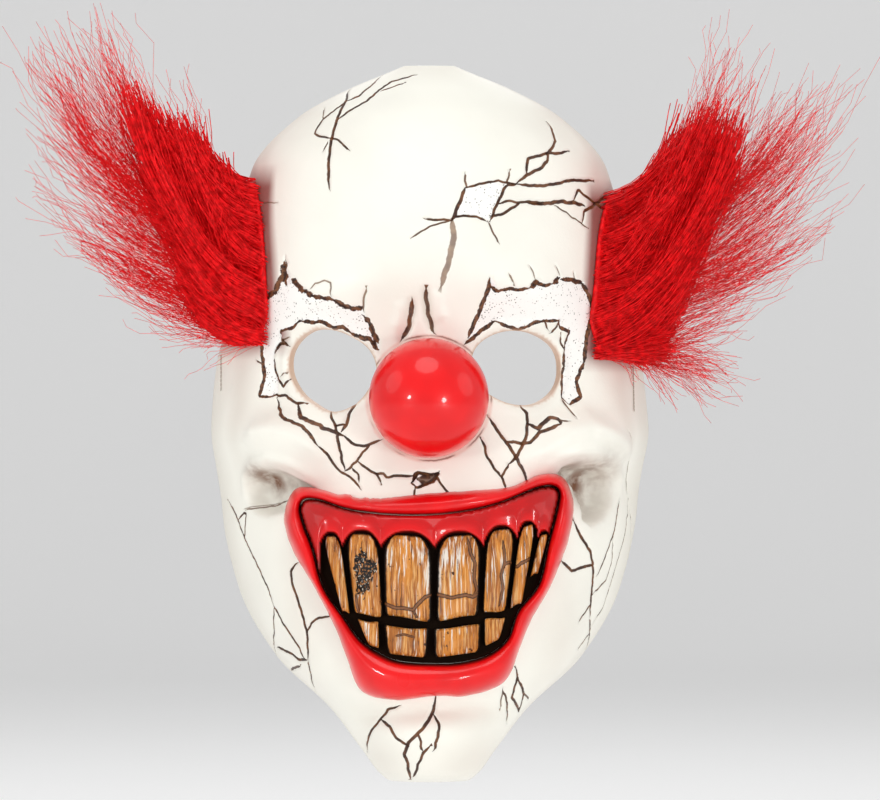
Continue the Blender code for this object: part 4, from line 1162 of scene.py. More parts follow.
class FaceMould:
    """The flat pattern of the face, cut into triangles along its cracks and edges."""

    def __init__(self, step):
        random = np.random.default_rng(7)
        self.cracks = crack_paths(CRACKS, random, CRACK_SWELL)
        self.torn = crack_paths(TORN_EDGES, random, TORN_SWELL)
        self.patches = []
        for patch in PATCHES:
            outline = FACE.flat(*FACE.from_photo(patch))
            self.patches.append(wobbled(resampled(outline, 0.7 * MM, closed=True), random, 0.20 * MM))
        self.folds = [(f.width * PIXEL, f.rise, FACE.flat(*FACE.from_photo(f.path))) for f in FOLDS]
        self.hollows = []
        for hollow in HOLLOWS:
            outline = resampled(FACE.flat(*FACE.from_photo(hollow.top + hollow.bottom)), MM, closed=True)
            self.hollows.append((outline, FACE.flat(*FACE.from_photo(hollow.top)), hollow.depth))
        self.rim = self.rim_outline(step)
        eyes = [eye_outline(LEFT_EYE_X, "left", 110), eye_outline(RIGHT_EYE_X, "right", 110)]
        self.eyes = [FACE.flat(*FACE.place(*eye.T)) for eye in eyes]
        around = np.linspace(0, 2 * pi, 84, endpoint=False)
        hole = FACE.place(NOSE_HOLE_RADIUS * np.cos(around), NOSE_Z + NOSE_HOLE_RADIUS * np.sin(around))
        self.holes = self.eyes + [FACE.flat(*hole)]
        self.cut(step, random)

    def rim_outline(self, step):
        """The outer edge of the pattern: the top edge, the right side, the chin edge and the left side."""
        runs = np.linspace(0, FACE.length, int(FACE.length / step))
        side = np.full(len(runs), SIDE_TURN)
        edge_turns = np.linspace(-SIDE_TURN, SIDE_TURN, 36)[1:-1]
        top = FACE.flat(edge_turns, np.zeros(34))
        chin = FACE.flat(-edge_turns, np.full(34, FACE.length))
        return np.vstack([top, FACE.flat(side, runs), chin, FACE.flat(-side, runs[::-1])])

    def cut(self, step, random):
        """Cuts the pattern into triangles."""
        points, edges = [], []

        def lay(path, closed=False):
            start = sum(len(p) for p in points)
            points.append(path)
            count = len(path)
            edges.extend((start + k, start + k + 1) for k in range(count - 1))
            if closed:
                edges.append((start + count - 1, start))

        lay(self.rim, closed=True)
        for hole in self.holes:
            lay(hole, closed=True)
        for patch in self.patches:
            lay(patch, closed=True)
        for width, _, path in self.cracks + self.torn:
            one, other = offset_path(path, width)
            for line in (path, one, other):
                lay(line)
        half = FACE_WIDTH * 0.80
        across = np.arange(-half, half, step)
        down = np.arange(0, FACE.length, step * 0.866)
        grid = np.stack(np.meshgrid(across, down), axis=-1)
        grid[1::2, :, 0] += step / 2
        grid = grid.reshape(-1, 2) + random.uniform(-0.12, 0.12, (grid.shape[0] * grid.shape[1], 2)) * step
        keep = inside(grid, self.rim)
        for hole in self.holes:
            keep &= ~inside(grid, hole)
        grid = grid[keep]
        near = np.zeros(len(grid), bool)
        for width, _, path in self.cracks + self.torn:
            near |= distance_to_path(grid, path, width / 2 + step * 0.45)[0] < width / 2 + step * 0.4
        closed = [np.vstack([loop, loop[:1]]) for loop in [self.rim] + self.holes + self.patches]
        for loop in closed:
            near |= distance_to_path(grid, loop, step)[0] < step * 0.45
        points.append(grid[~near])
        flat = np.vstack(points)
        coordinates = [Vector(p) for p in flat * 1000]
        vertices, _, faces, _, _, _ = delaunay_2d_cdt(coordinates, edges, [], 0, 1e-5)
        flat = np.array([tuple(v) for v in vertices]) / 1000
        faces = np.array([f for f in faces if len(f) == 3])
        middle = flat[faces].mean(axis=1)
        kept = inside(middle, self.rim)
        for hole in self.holes:
            kept &= ~inside(middle, hole)
        faces = faces[kept]
        a, b, c = flat[faces[:, 0]], flat[faces[:, 1]], flat[faces[:, 2]]
        area = (b[:, 0] - a[:, 0]) * (c[:, 1] - a[:, 1]) - (b[:, 1] - a[:, 1]) * (c[:, 0] - a[:, 0])
        faces = faces[np.abs(area) > 1e-12]
        area = area[np.abs(area) > 1e-12]
        faces[area > 0] = faces[area > 0][:, ::-1]
        used, faces = np.unique(faces, return_inverse=True)
        self.flat = flat[used]
        self.faces = faces.reshape(-1, 3)

    def folded(self, flat):
        """How far the ridges, creases and cheek hollows lift places of the pattern."""
        lift = np.zeros(len(flat))
        for width, rise, path in self.folds:
            distance, along = distance_to_path(flat, path, width * 1.6)
            ends = np.clip(np.minimum(along, 1 - along) * 5 + 0.15, 0, 1)
            lift += rise * ends * np.exp(-(distance / (width / 2)) ** 2) * (distance < width * 1.6)
        for outline, top, depth in self.hollows:
            to_top = distance_to_path(flat, top, 12 * MM)[0]
            to_edge = distance_to_path(flat, np.vstack([outline, outline[:1]]), 12 * MM)[0]
            share = eased(to_top / (1.6 * MM)) * eased(to_edge / (4.2 * MM)) ** 0.7
            lift -= depth * share * inside(flat, outline)
        return lift

    def relief(self):
        """How far each point stands off the plain face, and its paint, with its stains and painted shade."""
        own = settings()
        flat = self.flat
        lift = self.folded(flat)
        for eye in self.eyes:
            distance, _ = distance_to_path(flat, np.vstack([eye, eye[:1]]), 8 * MM)
            lift += 0.8 * MM * np.exp(-((distance - 2.2 * MM) / (1.6 * MM)) ** 2) * (distance < 8 * MM)
        patch = np.zeros(len(flat))
        for outline in self.patches:
            distance, _ = distance_to_path(flat, np.vstack([outline, outline[:1]]), 2 * MM)
            within = inside(flat, outline)
            covered = np.where(within, 0.35 + distance / MM, 0.35 - distance / MM)
            patch = np.maximum(patch, np.clip(covered, 0, 1))
            lift -= own.patch_depth * np.where(within, np.clip(distance / (0.55 * MM), 0.0, 1), 0)
            lift += 0.22 * MM * np.exp(-((distance - 0.35 * MM) / (0.4 * MM)) ** 2) * ~within
        crack, tones, nearest = np.zeros(len(flat)), np.zeros(len(flat)), np.full(len(flat), 2 * MM)
        for width, tone, path in self.cracks:
            profile = crack_profile(flat, width, path)
            crack = np.maximum(crack, profile)
            lift -= own.crack_depth * min(1.3, width / MM) * profile
            distance, _ = distance_to_path(flat, path, 2 * MM)
            tones = np.where(distance < nearest, tone, tones)
            nearest = np.minimum(nearest, distance)
            lift += 0.10 * MM * np.exp(-((distance - width * 0.75) / (0.35 * MM)) ** 2) * (distance < 2 * MM)
        torn = np.zeros(len(flat))
        for width, tone, path in self.torn:
            profile = crack_profile(flat, width, path)
            torn = np.maximum(torn, profile)
            lift -= 0.45 * MM * np.clip(profile * 2, 0, 1)
        edge = np.zeros(len(flat))
        for eye in self.eyes:
            distance, _ = distance_to_path(flat, np.vstack([eye, eye[:1]]), 1.5 * MM)
            edge = np.maximum(edge, np.clip(1 - distance / (0.7 * MM), 0, 1) * 0.75)
        paint = np.stack([crack, patch, torn, edge], axis=-1)
        blank = np.zeros(len(flat))
        return lift, paint, self.shading(), np.stack([tones, blank, blank, blank + 1], axis=-1)

    def shading(self):
        """Brown stain, grey painted shade, pink and the dark red painted shadow of the fur tufts at each
        point.
        """
        stain_and_shade = np.zeros((len(self.flat), 4))
        for spot in SPOTS:
            turn, run = FACE.from_photo([(spot.x, spot.y)])
            centre = FACE.flat(turn, run)[0]
            u = (self.flat[:, 0] - centre[0]) / (spot.wide * PIXEL * 1.2)
            v = (self.flat[:, 1] - centre[1]) / (spot.tall * PIXEL * 1.1)
            blur = np.exp(-u * u - v * v)
            for k, strength in enumerate((spot.brown, spot.grey, spot.pink)):
                stain_and_shade[:, k] = np.maximum(stain_and_shade[:, k], strength * blur)
        turn, run = FACE.unflat(self.flat)
        height = FACE.level(run)[0]
        # Grey painted shade where the face turns away towards its sides and along its top edge
        stain_and_shade[:, 1] = np.maximum(stain_and_shade[:, 1], 0.45 * np.clip((np.abs(turn) / SIDE_TURN - 0.80) / 0.2, 0, 1))
        stain_and_shade[:, 1] = np.maximum(stain_and_shade[:, 1], 0.40 * np.clip(1 - run / (16 * MM), 0, 1))
        # Dark red painted shadow of each fur tuft on the face, along the tuft's front edge
        for side, tuft_z in ((-1, LEFT_TUFT_Z), (1, RIGHT_TUFT_Z)):
            up = (height - tuft_z) / TUFT_HALF_HEIGHT
            share = TUFT_LOW_TURN + (TUFT_HIGH_TURN - TUFT_LOW_TURN) * (up + 1) / 2
            edge = side * turn / SIDE_TURN - share + TUFT_HALF_DEPTH / (FACE_WIDTH / 2) / SIDE_TURN
            fur_shadow_strip = np.clip((edge + 0.075) / 0.05, 0, 1) * np.clip((1.25 - np.abs(up)) / 0.3, 0, 1)
            stain_and_shade[:, 3] = np.maximum(stain_and_shade[:, 3], 0.85 * fur_shadow_strip)
        return stain_and_shade


def add_face():
    """The face: its painted outer side, its cut edges and its bare inner side, as one closed shell."""
    own = settings()
    step = own.skin_step * 1
    mould = FaceMould(step)
    lift, paint, stain_and_shade, tone = mould.relief()
    turn, run = FACE.unflat(mould.flat)
    outer = FACE.points(turn, run, lift)
    faces = mould.faces
    counts = {}
    for a, b in np.vstack([faces[:, [0, 1]], faces[:, [1, 2]], faces[:, [2, 0]]]):
        key = (min(a, b), max(a, b))
        counts[key] = (counts[key][0] + 1, (a, b)) if key in counts else (1, (a, b))
    border = [way for count, way in counts.values() if count == 1]
    following = {int(a): int(b) for a, b in border}
    loops, seen = [], set()
    for first in following:
        if first in seen:
            continue
        loop = []
        at = first
        while at not in seen:
            seen.add(at)
            loop.append(at)
            at = following[at]
        loops.append(loop)
    back_step = 3.2 * MM
    random = np.random.default_rng(11)
    half = FACE_WIDTH * 0.80
    columns = np.arange(-half, half, back_step)
    rows = np.arange(0, FACE.length, back_step)
    grid = np.stack(np.meshgrid(columns, rows), axis=-1)
    grid = grid.reshape(-1, 2) + random.uniform(-0.1, 0.1, (grid.shape[0] * grid.shape[1], 2)) * back_step
    keep = inside(grid, mould.rim)
    for hole in mould.holes:
        keep &= ~inside(grid, hole)
    for loop in [mould.rim] + mould.holes:
        keep &= distance_to_path(grid, np.vstack([loop, loop[:1]]), back_step)[0] > back_step * 0.4
    edge_ids = [k for loop in loops for k in loop]
    flat = np.vstack([mould.flat[edge_ids], grid[keep]])
    back_edges, start = [], 0
    for loop in loops:
        back_edges += [(start + k, start + (k + 1) % len(loop)) for k in range(len(loop))]
        start += len(loop)
    flat_points = [Vector(p) for p in flat * 1000]
    vertices, _, back_faces, _, _, _ = delaunay_2d_cdt(flat_points, back_edges, [], 0, 1e-5)
    if len(vertices) != len(flat):
        raise RuntimeError("the inner side of the face lost its match with the outer side")
    back_faces = np.array([f for f in back_faces if len(f) == 3])
    middle = flat[back_faces].mean(axis=1)
    kept = inside(middle, mould.flat[loops_longest(loops)])
    for loop in loops:
        if loop is not loops_longest(loops):
            kept &= ~inside(middle, mould.flat[loop])
    back_faces = back_faces[kept]
    a, b, c = (flat[back_faces[:, k]] for k in range(3))
    area = (b[:, 0] - a[:, 0]) * (c[:, 1] - a[:, 1]) - (b[:, 1] - a[:, 1]) * (c[:, 0] - a[:, 0])
    back_faces[area < 0] = back_faces[area < 0][:, ::-1]
    back_turn, back_run = FACE.unflat(flat)
    back = FACE.points(back_turn, back_run, np.minimum(mould.folded(flat), 0) - WALL)
    shift = len(outer)
    walls = []
    place_of = {k: shift + i for i, k in enumerate(edge_ids)}
    for a, b in border:
        walls.append((int(b), int(a), place_of[int(a)], place_of[int(b)]))
    mesh = bpy.data.meshes.new("face_skin")
    all_faces = [tuple(f) for f in faces.tolist()] + walls + [tuple(f) for f in (back_faces + shift).tolist()]
    mesh.from_pydata(np.vstack([outer, back]).tolist(), [], all_faces)
    skin = new_object("face_skin", mesh, latex_material())
    mesh.materials.append(bare_latex_material())
    painted = len(faces) + len(walls)
    mesh.polygons.foreach_set("material_index", [0] * painted + [1] * len(back_faces))
    blank = np.zeros((len(back), 4))
    rim_paint = blank.copy()
    rim_paint[:, 3] = 0.7
    set_attribute(mesh, "paint", np.vstack([paint, rim_paint]))
    # Stains, painted shade and the fur's painted shadow on the outer side; none on the inner side
    set_attribute(mesh, "stain_and_shade", np.vstack([stain_and_shade, blank]))
    set_attribute(mesh, "tone", np.vstack([tone, blank]))
    sharp = np.zeros(len(mesh.polygons), bool)
    sharp[len(faces):painted] = True
    mesh.polygons.foreach_set("use_smooth", ~sharp)
    mesh.validate()
    return skin


def loops_longest(loops):
    """The longest of some loops."""
    return max(loops, key=len)


def nose_centre():
    """The middle of the ball nose, which stands off the face."""
    seat = FACE.over(np.array([0.0]), np.array([NOSE_Z]), 0.0)[0]
    return np.array([0.0, seat[1] - NOSE_STAND_OFF, NOSE_Z])


def add_nose():
    """The hollow ball, open at the back, whose edge follows the face all round."""
    centre = nose_centre()
    sides, rings = 144, 60
    around = np.linspace(0, 2 * pi, sides, endpoint=False)
    loops = []
    for radius, steps in ((NOSE_RADIUS, range(1, rings + 1)), (NOSE_RADIUS - NOSE_WALL, range(rings, 0, -1))):
        low, high = np.full(sides, pi / 2), np.full(sides, pi * 0.95)
        for _ in range(30):
            middle = (low + high) / 2
            x = centre[0] + radius * np.sin(middle) * np.cos(around)
            z = centre[2] + radius * np.sin(middle) * np.sin(around)
            clear = centre[1] - radius * np.cos(middle) < FACE.over(x, z, SEAT_GAP)[:, 1]
            low, high = np.where(clear, middle, low), np.where(clear, high, middle)
        for step in steps:
            polar = low * step / rings
            across = radius * np.sin(polar)
            ahead = -radius * np.cos(polar)
            loop = np.stack([across * np.cos(around), ahead, across * np.sin(around)], axis=-1)
            loops.append(centre + loop)
    mesh = lofted("ball_nose", loops, join_ends=False)
    return new_object("ball_nose", mesh, nose_material())


def lofted(name, loops, join_ends):
    """A closed mesh through closed loops of points, capped or joined at its ends."""
    count = len(loops[0])
    faces = []
    rows = len(loops)
    pairs = [(r, r + 1) for r in range(rows - 1)] + ([(rows - 1, 0)] if join_ends else [])
    for r, s in pairs:
        for i in range(count):
            j = (i + 1) % count
            faces.append((r * count + i, r * count + j, s * count + j, s * count + i))
    points = [p for loop in loops for p in loop]
    if not join_ends:
        for r in (0, rows - 1):
            points.append(np.mean(loops[r], axis=0))
            faces += [(r * count + i, r * count + (i + 1) % count, len(points) - 1) for i in range(count)]
    return facing_out(mesh_of(name, points, faces))


# Half profile of the lip from its outer to its inner edge: along its width, and height as a share
LIP_PROFILE = (
    (0.00, -0.10), (0.00, 0.06), (0.03, 0.30), (0.10, 0.55), (0.20, 0.76), (0.33, 0.91), (0.47, 0.99),
    (0.60, 1.00), (0.72, 0.94), (0.82, 0.83), (0.90, 0.68), (0.96, 0.48), (0.99, 0.24), (1.00, 0.02),
    (1.00, -0.10), (0.5, -0.10),
)
LIP_COUNT = 416


def add_lips():
    """The glossy ring of the lips, with a ragged upper edge and the dark line at its inner edge."""
    random = np.random.default_rng(3)
    sections = lip_sections(LIP_COUNT)
    ragged = np.convolve(random.normal(0, 0.6 * MM, LIP_COUNT + 4), np.ones(5) / 5, mode="valid")
    swell = np.array([
        sum(sin(k * 2 * pi * n / LIP_COUNT + n * n) / n for n in (3, 5, 8, 13)) for k in range(LIP_COUNT)
    ])
    loops, paint = [], []
    for k, section in enumerate(sections):
        outer = np.array(mouth_place(section.outer_across, section.outer_up))
        inner = np.array(mouth_place(section.inner_across, section.inner_up))
        away = (outer - inner) / np.hypot(*(outer - inner))
        torn = 2.0 if section.outer_up > 0.7 and -0.62 < section.outer_across < -0.25 else 0.2
        outer = outer + away * ragged[k] * torn
        rise = section.full * LIP_RISE * (1 + 0.035 * swell[k])
        at = np.array([outer + (inner - outer) * along for along, _ in LIP_PROFILE])
        lift = np.array([share * rise for _, share in LIP_PROFILE])
        loops.append(FACE.over(at[:, 0], at[:, 1], lift))
        side = 0.30 + 0.70 * float(eased(abs(section.inner_across) * 1.15)) if section.inner_up > 0.5 else 1.0
        line = [np.clip((along - 0.90) / 0.07, 0, 1) * side for along, _ in LIP_PROFILE]
        paint += [(value, 0, 0, 1) for value in line]
    mesh = lofted("lip_ring", loops, join_ends=True)
    set_attribute(mesh, "paint", paint)
    return new_object("lip_ring", mesh, lip_material())


def tooth_corners(tooth):
    """The corners of a tooth in x and z, in the order of its columns."""
    pixels = np.array(tooth[:4], float)
    y = FACE.points(*FACE.from_photo(pixels), LIP_RISE * 0.6)[:, 1]
    return np.stack(seen_at(pixels, y), axis=-1)


def tooth_across(corners, along, share):
    """Places across a tooth in x and z, along from its free edge to its root, share from -1 to 1."""
    left = corners[2] + (corners[0] - corners[2]) * along
    right = corners[3] + (corners[1] - corners[3]) * along
    return (left + right) / 2 + (right - left) / 2 * np.asarray(share)[:, None]


# Height of the gum's edge beyond the teeth, as a share of the mouth's half height
GUM_SIDE_UP = 0.05


def gum_line(x):
    """The height of the gum's scalloped lower edge at x: it dips between the upper teeth."""
    line = np.full(len(x), mouth_place(0, GUM_SIDE_UP)[1])
    roots = [tooth_corners(tooth) for tooth in UPPER_TEETH]
    for root in roots:
        middle, half = (root[0] + root[1]) / 2, (root[1][0] - root[0][0]) / 2 + 0.6 * MM
        share = np.abs(x - middle[0]) / half
        depth = min(5.6 * MM, half * 1.3)
        arch = middle[1] + 1.0 * MM - depth * np.minimum(share, 1) ** 2.6
        line = np.where(share < 1, arch, line)
    return line


def add_gum():
    """The gum: dark red above the upper teeth with scalloped arches, and the black gaps round the teeth."""
    edge = []
    for section in lip_sections(260):
        inner = np.array(mouth_place(section.inner_across, section.inner_up))
        outer = np.array(mouth_place(section.outer_across, section.outer_up))
        edge.append(inner - (outer - inner) / np.hypot(*(outer - inner)) * 0.15 * MM)
    edge = np.array(edge)
    step = 0.62 * MM
    low, high = edge.min(axis=0), edge.max(axis=0)
    grid = np.stack(np.meshgrid(np.arange(low[0], high[0], step), np.arange(low[1], high[1], step)), axis=-1)
    grid = grid.reshape(-1, 2)
    closed = np.vstack([edge, edge[:1]])
    keep = inside(grid, edge) & (distance_to_path(grid, closed, step)[0] > step * 0.5)
    flat = np.vstack([edge, grid[keep]])
    ring = [(k, (k + 1) % len(edge)) for k in range(len(edge))]
    vertices, _, faces, _, _, _ = delaunay_2d_cdt([Vector(p) for p in flat * 1000], ring, [], 0, 1e-5)
    flat = np.array([tuple(v) for v in vertices]) / 1000
    faces = np.array([f for f in faces if len(f) == 3])
    faces = faces[inside(flat[faces].mean(axis=1), edge)]
    count = len(flat)
    above = flat[:, 1] - gum_line(flat[:, 0])
    cover = np.clip(above / (1.0 * MM) + 0.5, 0, 1)
    cover = cover * cover * (3 - 2 * cover)
    to_edge = distance_to_path(flat, closed, 6 * MM)[0]
    swell = 1.4 * MM * np.clip(above / (6 * MM), 0, 1) * np.clip(to_edge / (5 * MM), 0, 1)
    lift = SEAT_GAP + GUM_THICKNESS * 0.55 + cover * (GUM_THICKNESS + TOOTH_THICKNESS * 0.62) + swell
    lift = np.where(to_edge < 0.5 * MM, np.minimum(lift, 3.0 * MM), lift)
    front = FACE.over(flat[:, 0], flat[:, 1], lift)
    back = FACE.over(flat[:, 0], flat[:, 1], np.full(count, SEAT_GAP))
    sides = [(k, (k + 1) % len(edge), count + (k + 1) % len(edge), count + k) for k in range(len(edge))]
    all_faces = faces.tolist() + (faces[:, ::-1] + count).tolist() + sides
    mesh = facing_out(mesh_of("gum", np.vstack([front, back]), all_faces))
    gap = 1 - cover
    line = np.exp(-((above + 0.1 * MM) / (0.55 * MM)) ** 2)
    side = eased(np.abs(flat[:, 0]) / (MOUTH_WIDTH / 2) * 1.15)
    line = np.maximum(line, eased(1 - to_edge / ((0.7 + 1.3 * side) * MM)) * (0.35 + 0.65 * side))
    bright = eased(1 - above / (4.5 * MM)) * eased(to_edge / (4 * MM))
    paint = np.stack([gap, line * 0.95, bright, gap * 0 + 1], axis=-1)
    set_attribute(mesh, "paint", np.vstack([paint, paint]))
    return new_object("gum", mesh, gum_material())


# The paler spot between the middle teeth: its middle in pixels, its depth and its half sizes in metres
PALE_SPOT = (434, 560)
PALE_SPOT_Y = -0.02
PALE_SPOT_HALF = (0.016, 0.014)
# Cracks over the teeth in pixels, and the cavity of the second upper tooth: its middle and half sizes
TOOTH_CRACKS = (
    Crack(5.0, 0.9, (
        (380, 601), (388, 605), (396, 608), (405, 608), (413, 610), (417, 605), (425, 597), (434, 594),
    )),
    Crack(5.0, 0.9, ((434, 594), (445, 596), (451, 598), (459, 596), (466, 595), (473, 597), (479, 593))),
    Crack(3.6, 0.9, ((413, 610), (415, 614), (417, 618))),
    Crack(4.4, 0.9, ((467, 537), (471, 554), (475, 563), (474, 579), (477, 590), (473, 596))),
    Crack(4.0, 0.9, ((503, 540), (505, 560), (501, 575), (503, 588), (499, 606))),
    Crack(4.0, 0.9, ((503, 566), (508, 562), (513, 563))),
    Crack(4.6, 0.9, ((515, 568), (521, 563), (529, 559), (536, 556))),
    Crack(4.0, 0.9, ((356, 594), (357, 604), (359, 613))),
    Crack(3.0, 0.9, ((396, 636), (404, 634), (414, 637))),
)
CAVITY = (364, 572, 12, 25)
TOOTH_ROUND_POINTS = 40
TOOTH_LONG_POINTS = 80


def add_tooth(name, tooth, material):
    """A tooth: flat on the gum, round in front, streaked, dark at its edges and cracked."""
    alongs = 0.5 - 0.5 * np.cos(np.linspace(0, pi, TOOTH_LONG_POINTS))
    places = [s.along for s in TOOTH_SECTIONS]
    thick = np.interp(alongs, places, [s.thick for s in TOOTH_SECTIONS])
    wide = 1 - (1 - np.interp(alongs, places, [s.wide for s in TOOTH_SECTIONS])) * tooth.taper
    base = 2 * SEAT_GAP + GUM_THICKNESS
    corners = tooth_corners(tooth)
    cracks = []
    for crack in TOOTH_CRACKS:
        path = np.array(crack.path, float)
        x, z = seen_at(path, FACE.points(*FACE.from_photo(path), LIP_RISE * 0.6)[:, 1])
        cracks.append((crack.width * PIXEL, resampled(np.stack([x, z], axis=-1), 0.8 * MM)))
    hole_x, hole_z = seen_at(np.array([CAVITY[:2]], float), np.array([-0.020]))
    second = name == "tooth_upper_2"
    loops, paint = [], []
    around = np.linspace(pi, 0, TOOTH_ROUND_POINTS)
    for along, share, width in zip(alongs, thick, wide):
        side = np.cos(around) * (1 - 0.08 * np.sin(around))
        ribs = 0.10 * MM * np.sin(side * 23 + corners[0][0] * 4000) * np.sin(around)
        lift = base + share * TOOTH_THICKNESS * (0.30 + 0.70 * np.sin(around) ** 0.8) + ribs
        spots = tooth_across(corners, along, side * width)
        spots[:, 1] -= 0.35 * MM * (1 - along) * np.cos(side * 2.2 + corners[0][0] * 900)
        x, z = spots.T
        crack = np.zeros(TOOTH_ROUND_POINTS)
        for crack_width, path in cracks:
            crack = np.maximum(crack, crack_profile(spots, crack_width, path))
        u, v = (x - hole_x) / (CAVITY[2] * PIXEL), (z - hole_z) / (CAVITY[3] * PIXEL)
        turn = np.arctan2(v, u)
        ragged = 0.12 * np.sin(3 * turn + 1.0) + 0.10 * np.sin(5 * turn) + 0.06 * np.sin(11 * turn)
        hole = np.clip((1.0 + ragged - np.hypot(u, v)) * 2.2, 0, 1) if second else 0 * u
        lift = lift - 0.55 * MM * crack - hole * 2.6 * MM
        lift = np.maximum(lift, base + 0.3 * MM)
        dark = np.clip((np.abs(side) - 0.84) / 0.12, 0, 1)
        dark = np.maximum(dark, np.clip((along - 0.965) / 0.035, 0, 1) * 0.9)
        dark = np.maximum(dark, np.clip((0.010 - along) / 0.010, 0, 1))
        outline = FACE.over(x, z, lift)
        back = FACE.over(x[::-1], z[::-1], np.full(TOOTH_ROUND_POINTS, base))
        loops.append(np.vstack([outline, back]))
        pale_x, pale_z = seen_at(np.array([PALE_SPOT], float), np.array([PALE_SPOT_Y]))
        from_pale = np.hypot((x - pale_x) / PALE_SPOT_HALF[0], (z - pale_z) / PALE_SPOT_HALF[1])
        pale = np.clip(1.1 - from_pale, 0, 1)
        front_paint = np.stack([dark, hole, crack, pale], axis=-1)
        paint += front_paint.tolist() + [(1, 0, 0, 0)] * TOOTH_ROUND_POINTS
    mesh = lofted(name, loops, join_ends=False)
    set_attribute(mesh, "paint", paint + [(1, 0, 0, 0)] * 2)
    return new_object(name, mesh, material)


def geometry_tree(name, inputs):
    """An empty geometry node tree with named inputs. Gives the tree and its input and output nodes."""
    tree = bpy.data.node_groups.new(name, "GeometryNodeTree")
    tree.interface.new_socket("Geometry", in_out="INPUT", socket_type="NodeSocketGeometry")
    for label, kind in inputs:
        tree.interface.new_socket(label, in_out="INPUT", socket_type=kind)
    tree.interface.new_socket("Geometry", in_out="OUTPUT", socket_type="NodeSocketGeometry")
    return tree, tree.nodes.new("NodeGroupInput"), tree.nodes.new("NodeGroupOutput")


def set_inputs(modifier, tree, values):
    """Sets a modifier's inputs by their sockets' identifiers."""
    for item in tree.interface.items_tree:
        if item.item_type == "SOCKET" and item.in_out == "INPUT" and item.name in values:
            modifier[item.identifier] = values[item.name]


def baked(piece, name):
    """The piece's evaluated shape as a plain mesh object, in place of the piece."""
    depsgraph = bpy.context.evaluated_depsgraph_get()
    mesh = bpy.data.meshes.new_from_object(piece.evaluated_get(depsgraph), depsgraph=depsgraph)
    bpy.data.objects.remove(piece)
    mesh.name = name
    return new_object(name, mesh)


def fur_tree():
    """Strands of fur from guide lines: each guide is copied, scattered, frizzed and given a thickness."""
    tree, start, end = geometry_tree(
        "fur_strands",
        (
            ("Strands", "NodeSocketInt"), ("Root Scatter", "NodeSocketFloat"),
            ("Tip Scatter", "NodeSocketFloat"),
            ("Frizz", "NodeSocketFloat"), ("Radius", "NodeSocketFloat"), ("Steps", "NodeSocketInt"),
            ("Seed", "NodeSocketInt"), ("Material", "NodeSocketMaterial"),
        ),
    )
    g = Graph(tree)
    given = {socket.name: socket for socket in start.outputs}
    lines = g.add("GeometryNodeMeshToCurve", given["Geometry"])
    lines = g.add("GeometryNodeResampleCurve", lines, inputs={"Count": given["Steps"]})
    lines = g.add("GeometryNodeDuplicateElements", lines, None, given["Strands"], domain="SPLINE")
    strand = g.add("GeometryNodeCurveOfPoint", out=0)
    factor = g.add("GeometryNodeSplineParameter", out=0)
    random = tree.nodes.new("FunctionNodeRandomValue")
    random.data_type = "FLOAT_VECTOR"
    random.inputs[0].default_value = (-1, -1, -1)
    random.inputs[1].default_value = (1, 1, 1)
    g.feed(random.inputs["ID"], strand)
    g.feed(random.inputs["Seed"], given["Seed"])
    eased = g.math("POWER", factor, 1.4)
    tips = g.math("MULTIPLY", eased, given["Tip Scatter"])
    roots = g.math("MULTIPLY", g.math("SUBTRACT", 1.0, eased), given["Root Scatter"])
    scatter_size = g.math("ADD", tips, roots)
    scatter = g.add("ShaderNodeVectorMath", random.outputs[0], operation="SCALE", inputs={3: scatter_size})
    place = g.add("GeometryNodeInputPosition")
    shifted = g.add("ShaderNodeVectorMath", random.outputs[0], operation="SCALE", inputs={3: 0.35})
    sample = g.add("ShaderNodeVectorMath", place, shifted, operation="ADD")
    wave = g.noise(sample, 46, 2, colour=True)
    wave = g.add("ShaderNodeVectorMath", wave, (0.5, 0.5, 0.5), operation="SUBTRACT")
    frizz = g.math("MULTIPLY", g.math("POWER", factor, 1.2), given["Frizz"])
    wave = g.add("ShaderNodeVectorMath", wave, operation="SCALE", inputs={3: frizz})
    offset = g.add("ShaderNodeVectorMath", scatter, wave, operation="ADD")
    lines = g.add("GeometryNodeSetPosition", lines, inputs={"Offset": offset})
    length = tree.nodes.new("FunctionNodeRandomValue")
    length.data_type = "FLOAT"
    length.inputs[2].default_value = 0.62
    length.inputs[3].default_value = 1.0
    g.feed(length.inputs["Seed"], g.math("ADD", given["Seed"], 5))
    lines = g.add("GeometryNodeTrimCurve", lines, inputs={"End": length.outputs[1]})
    thin = g.add("GeometryNodeSplineParameter", out=0)
    width = g.math("SUBTRACT", 1.0, g.math("MULTIPLY", g.math("POWER", thin, 2.0), 0.80))
    lines = g.add("GeometryNodeSetCurveRadius", lines, inputs={"Radius": width})
    ring = g.add("GeometryNodeCurvePrimitiveCircle", inputs={"Resolution": 3, "Radius": given["Radius"]})
    mesh = g.add("GeometryNodeCurveToMesh", lines, ring, inputs={"Fill Caps": False})
    mesh = g.add("GeometryNodeRealizeInstances", mesh)
    mesh = g.add("GeometryNodeSetMaterial", mesh, inputs={"Material": given["Material"]})
    g.feed(end.inputs[0], mesh)
    return tree


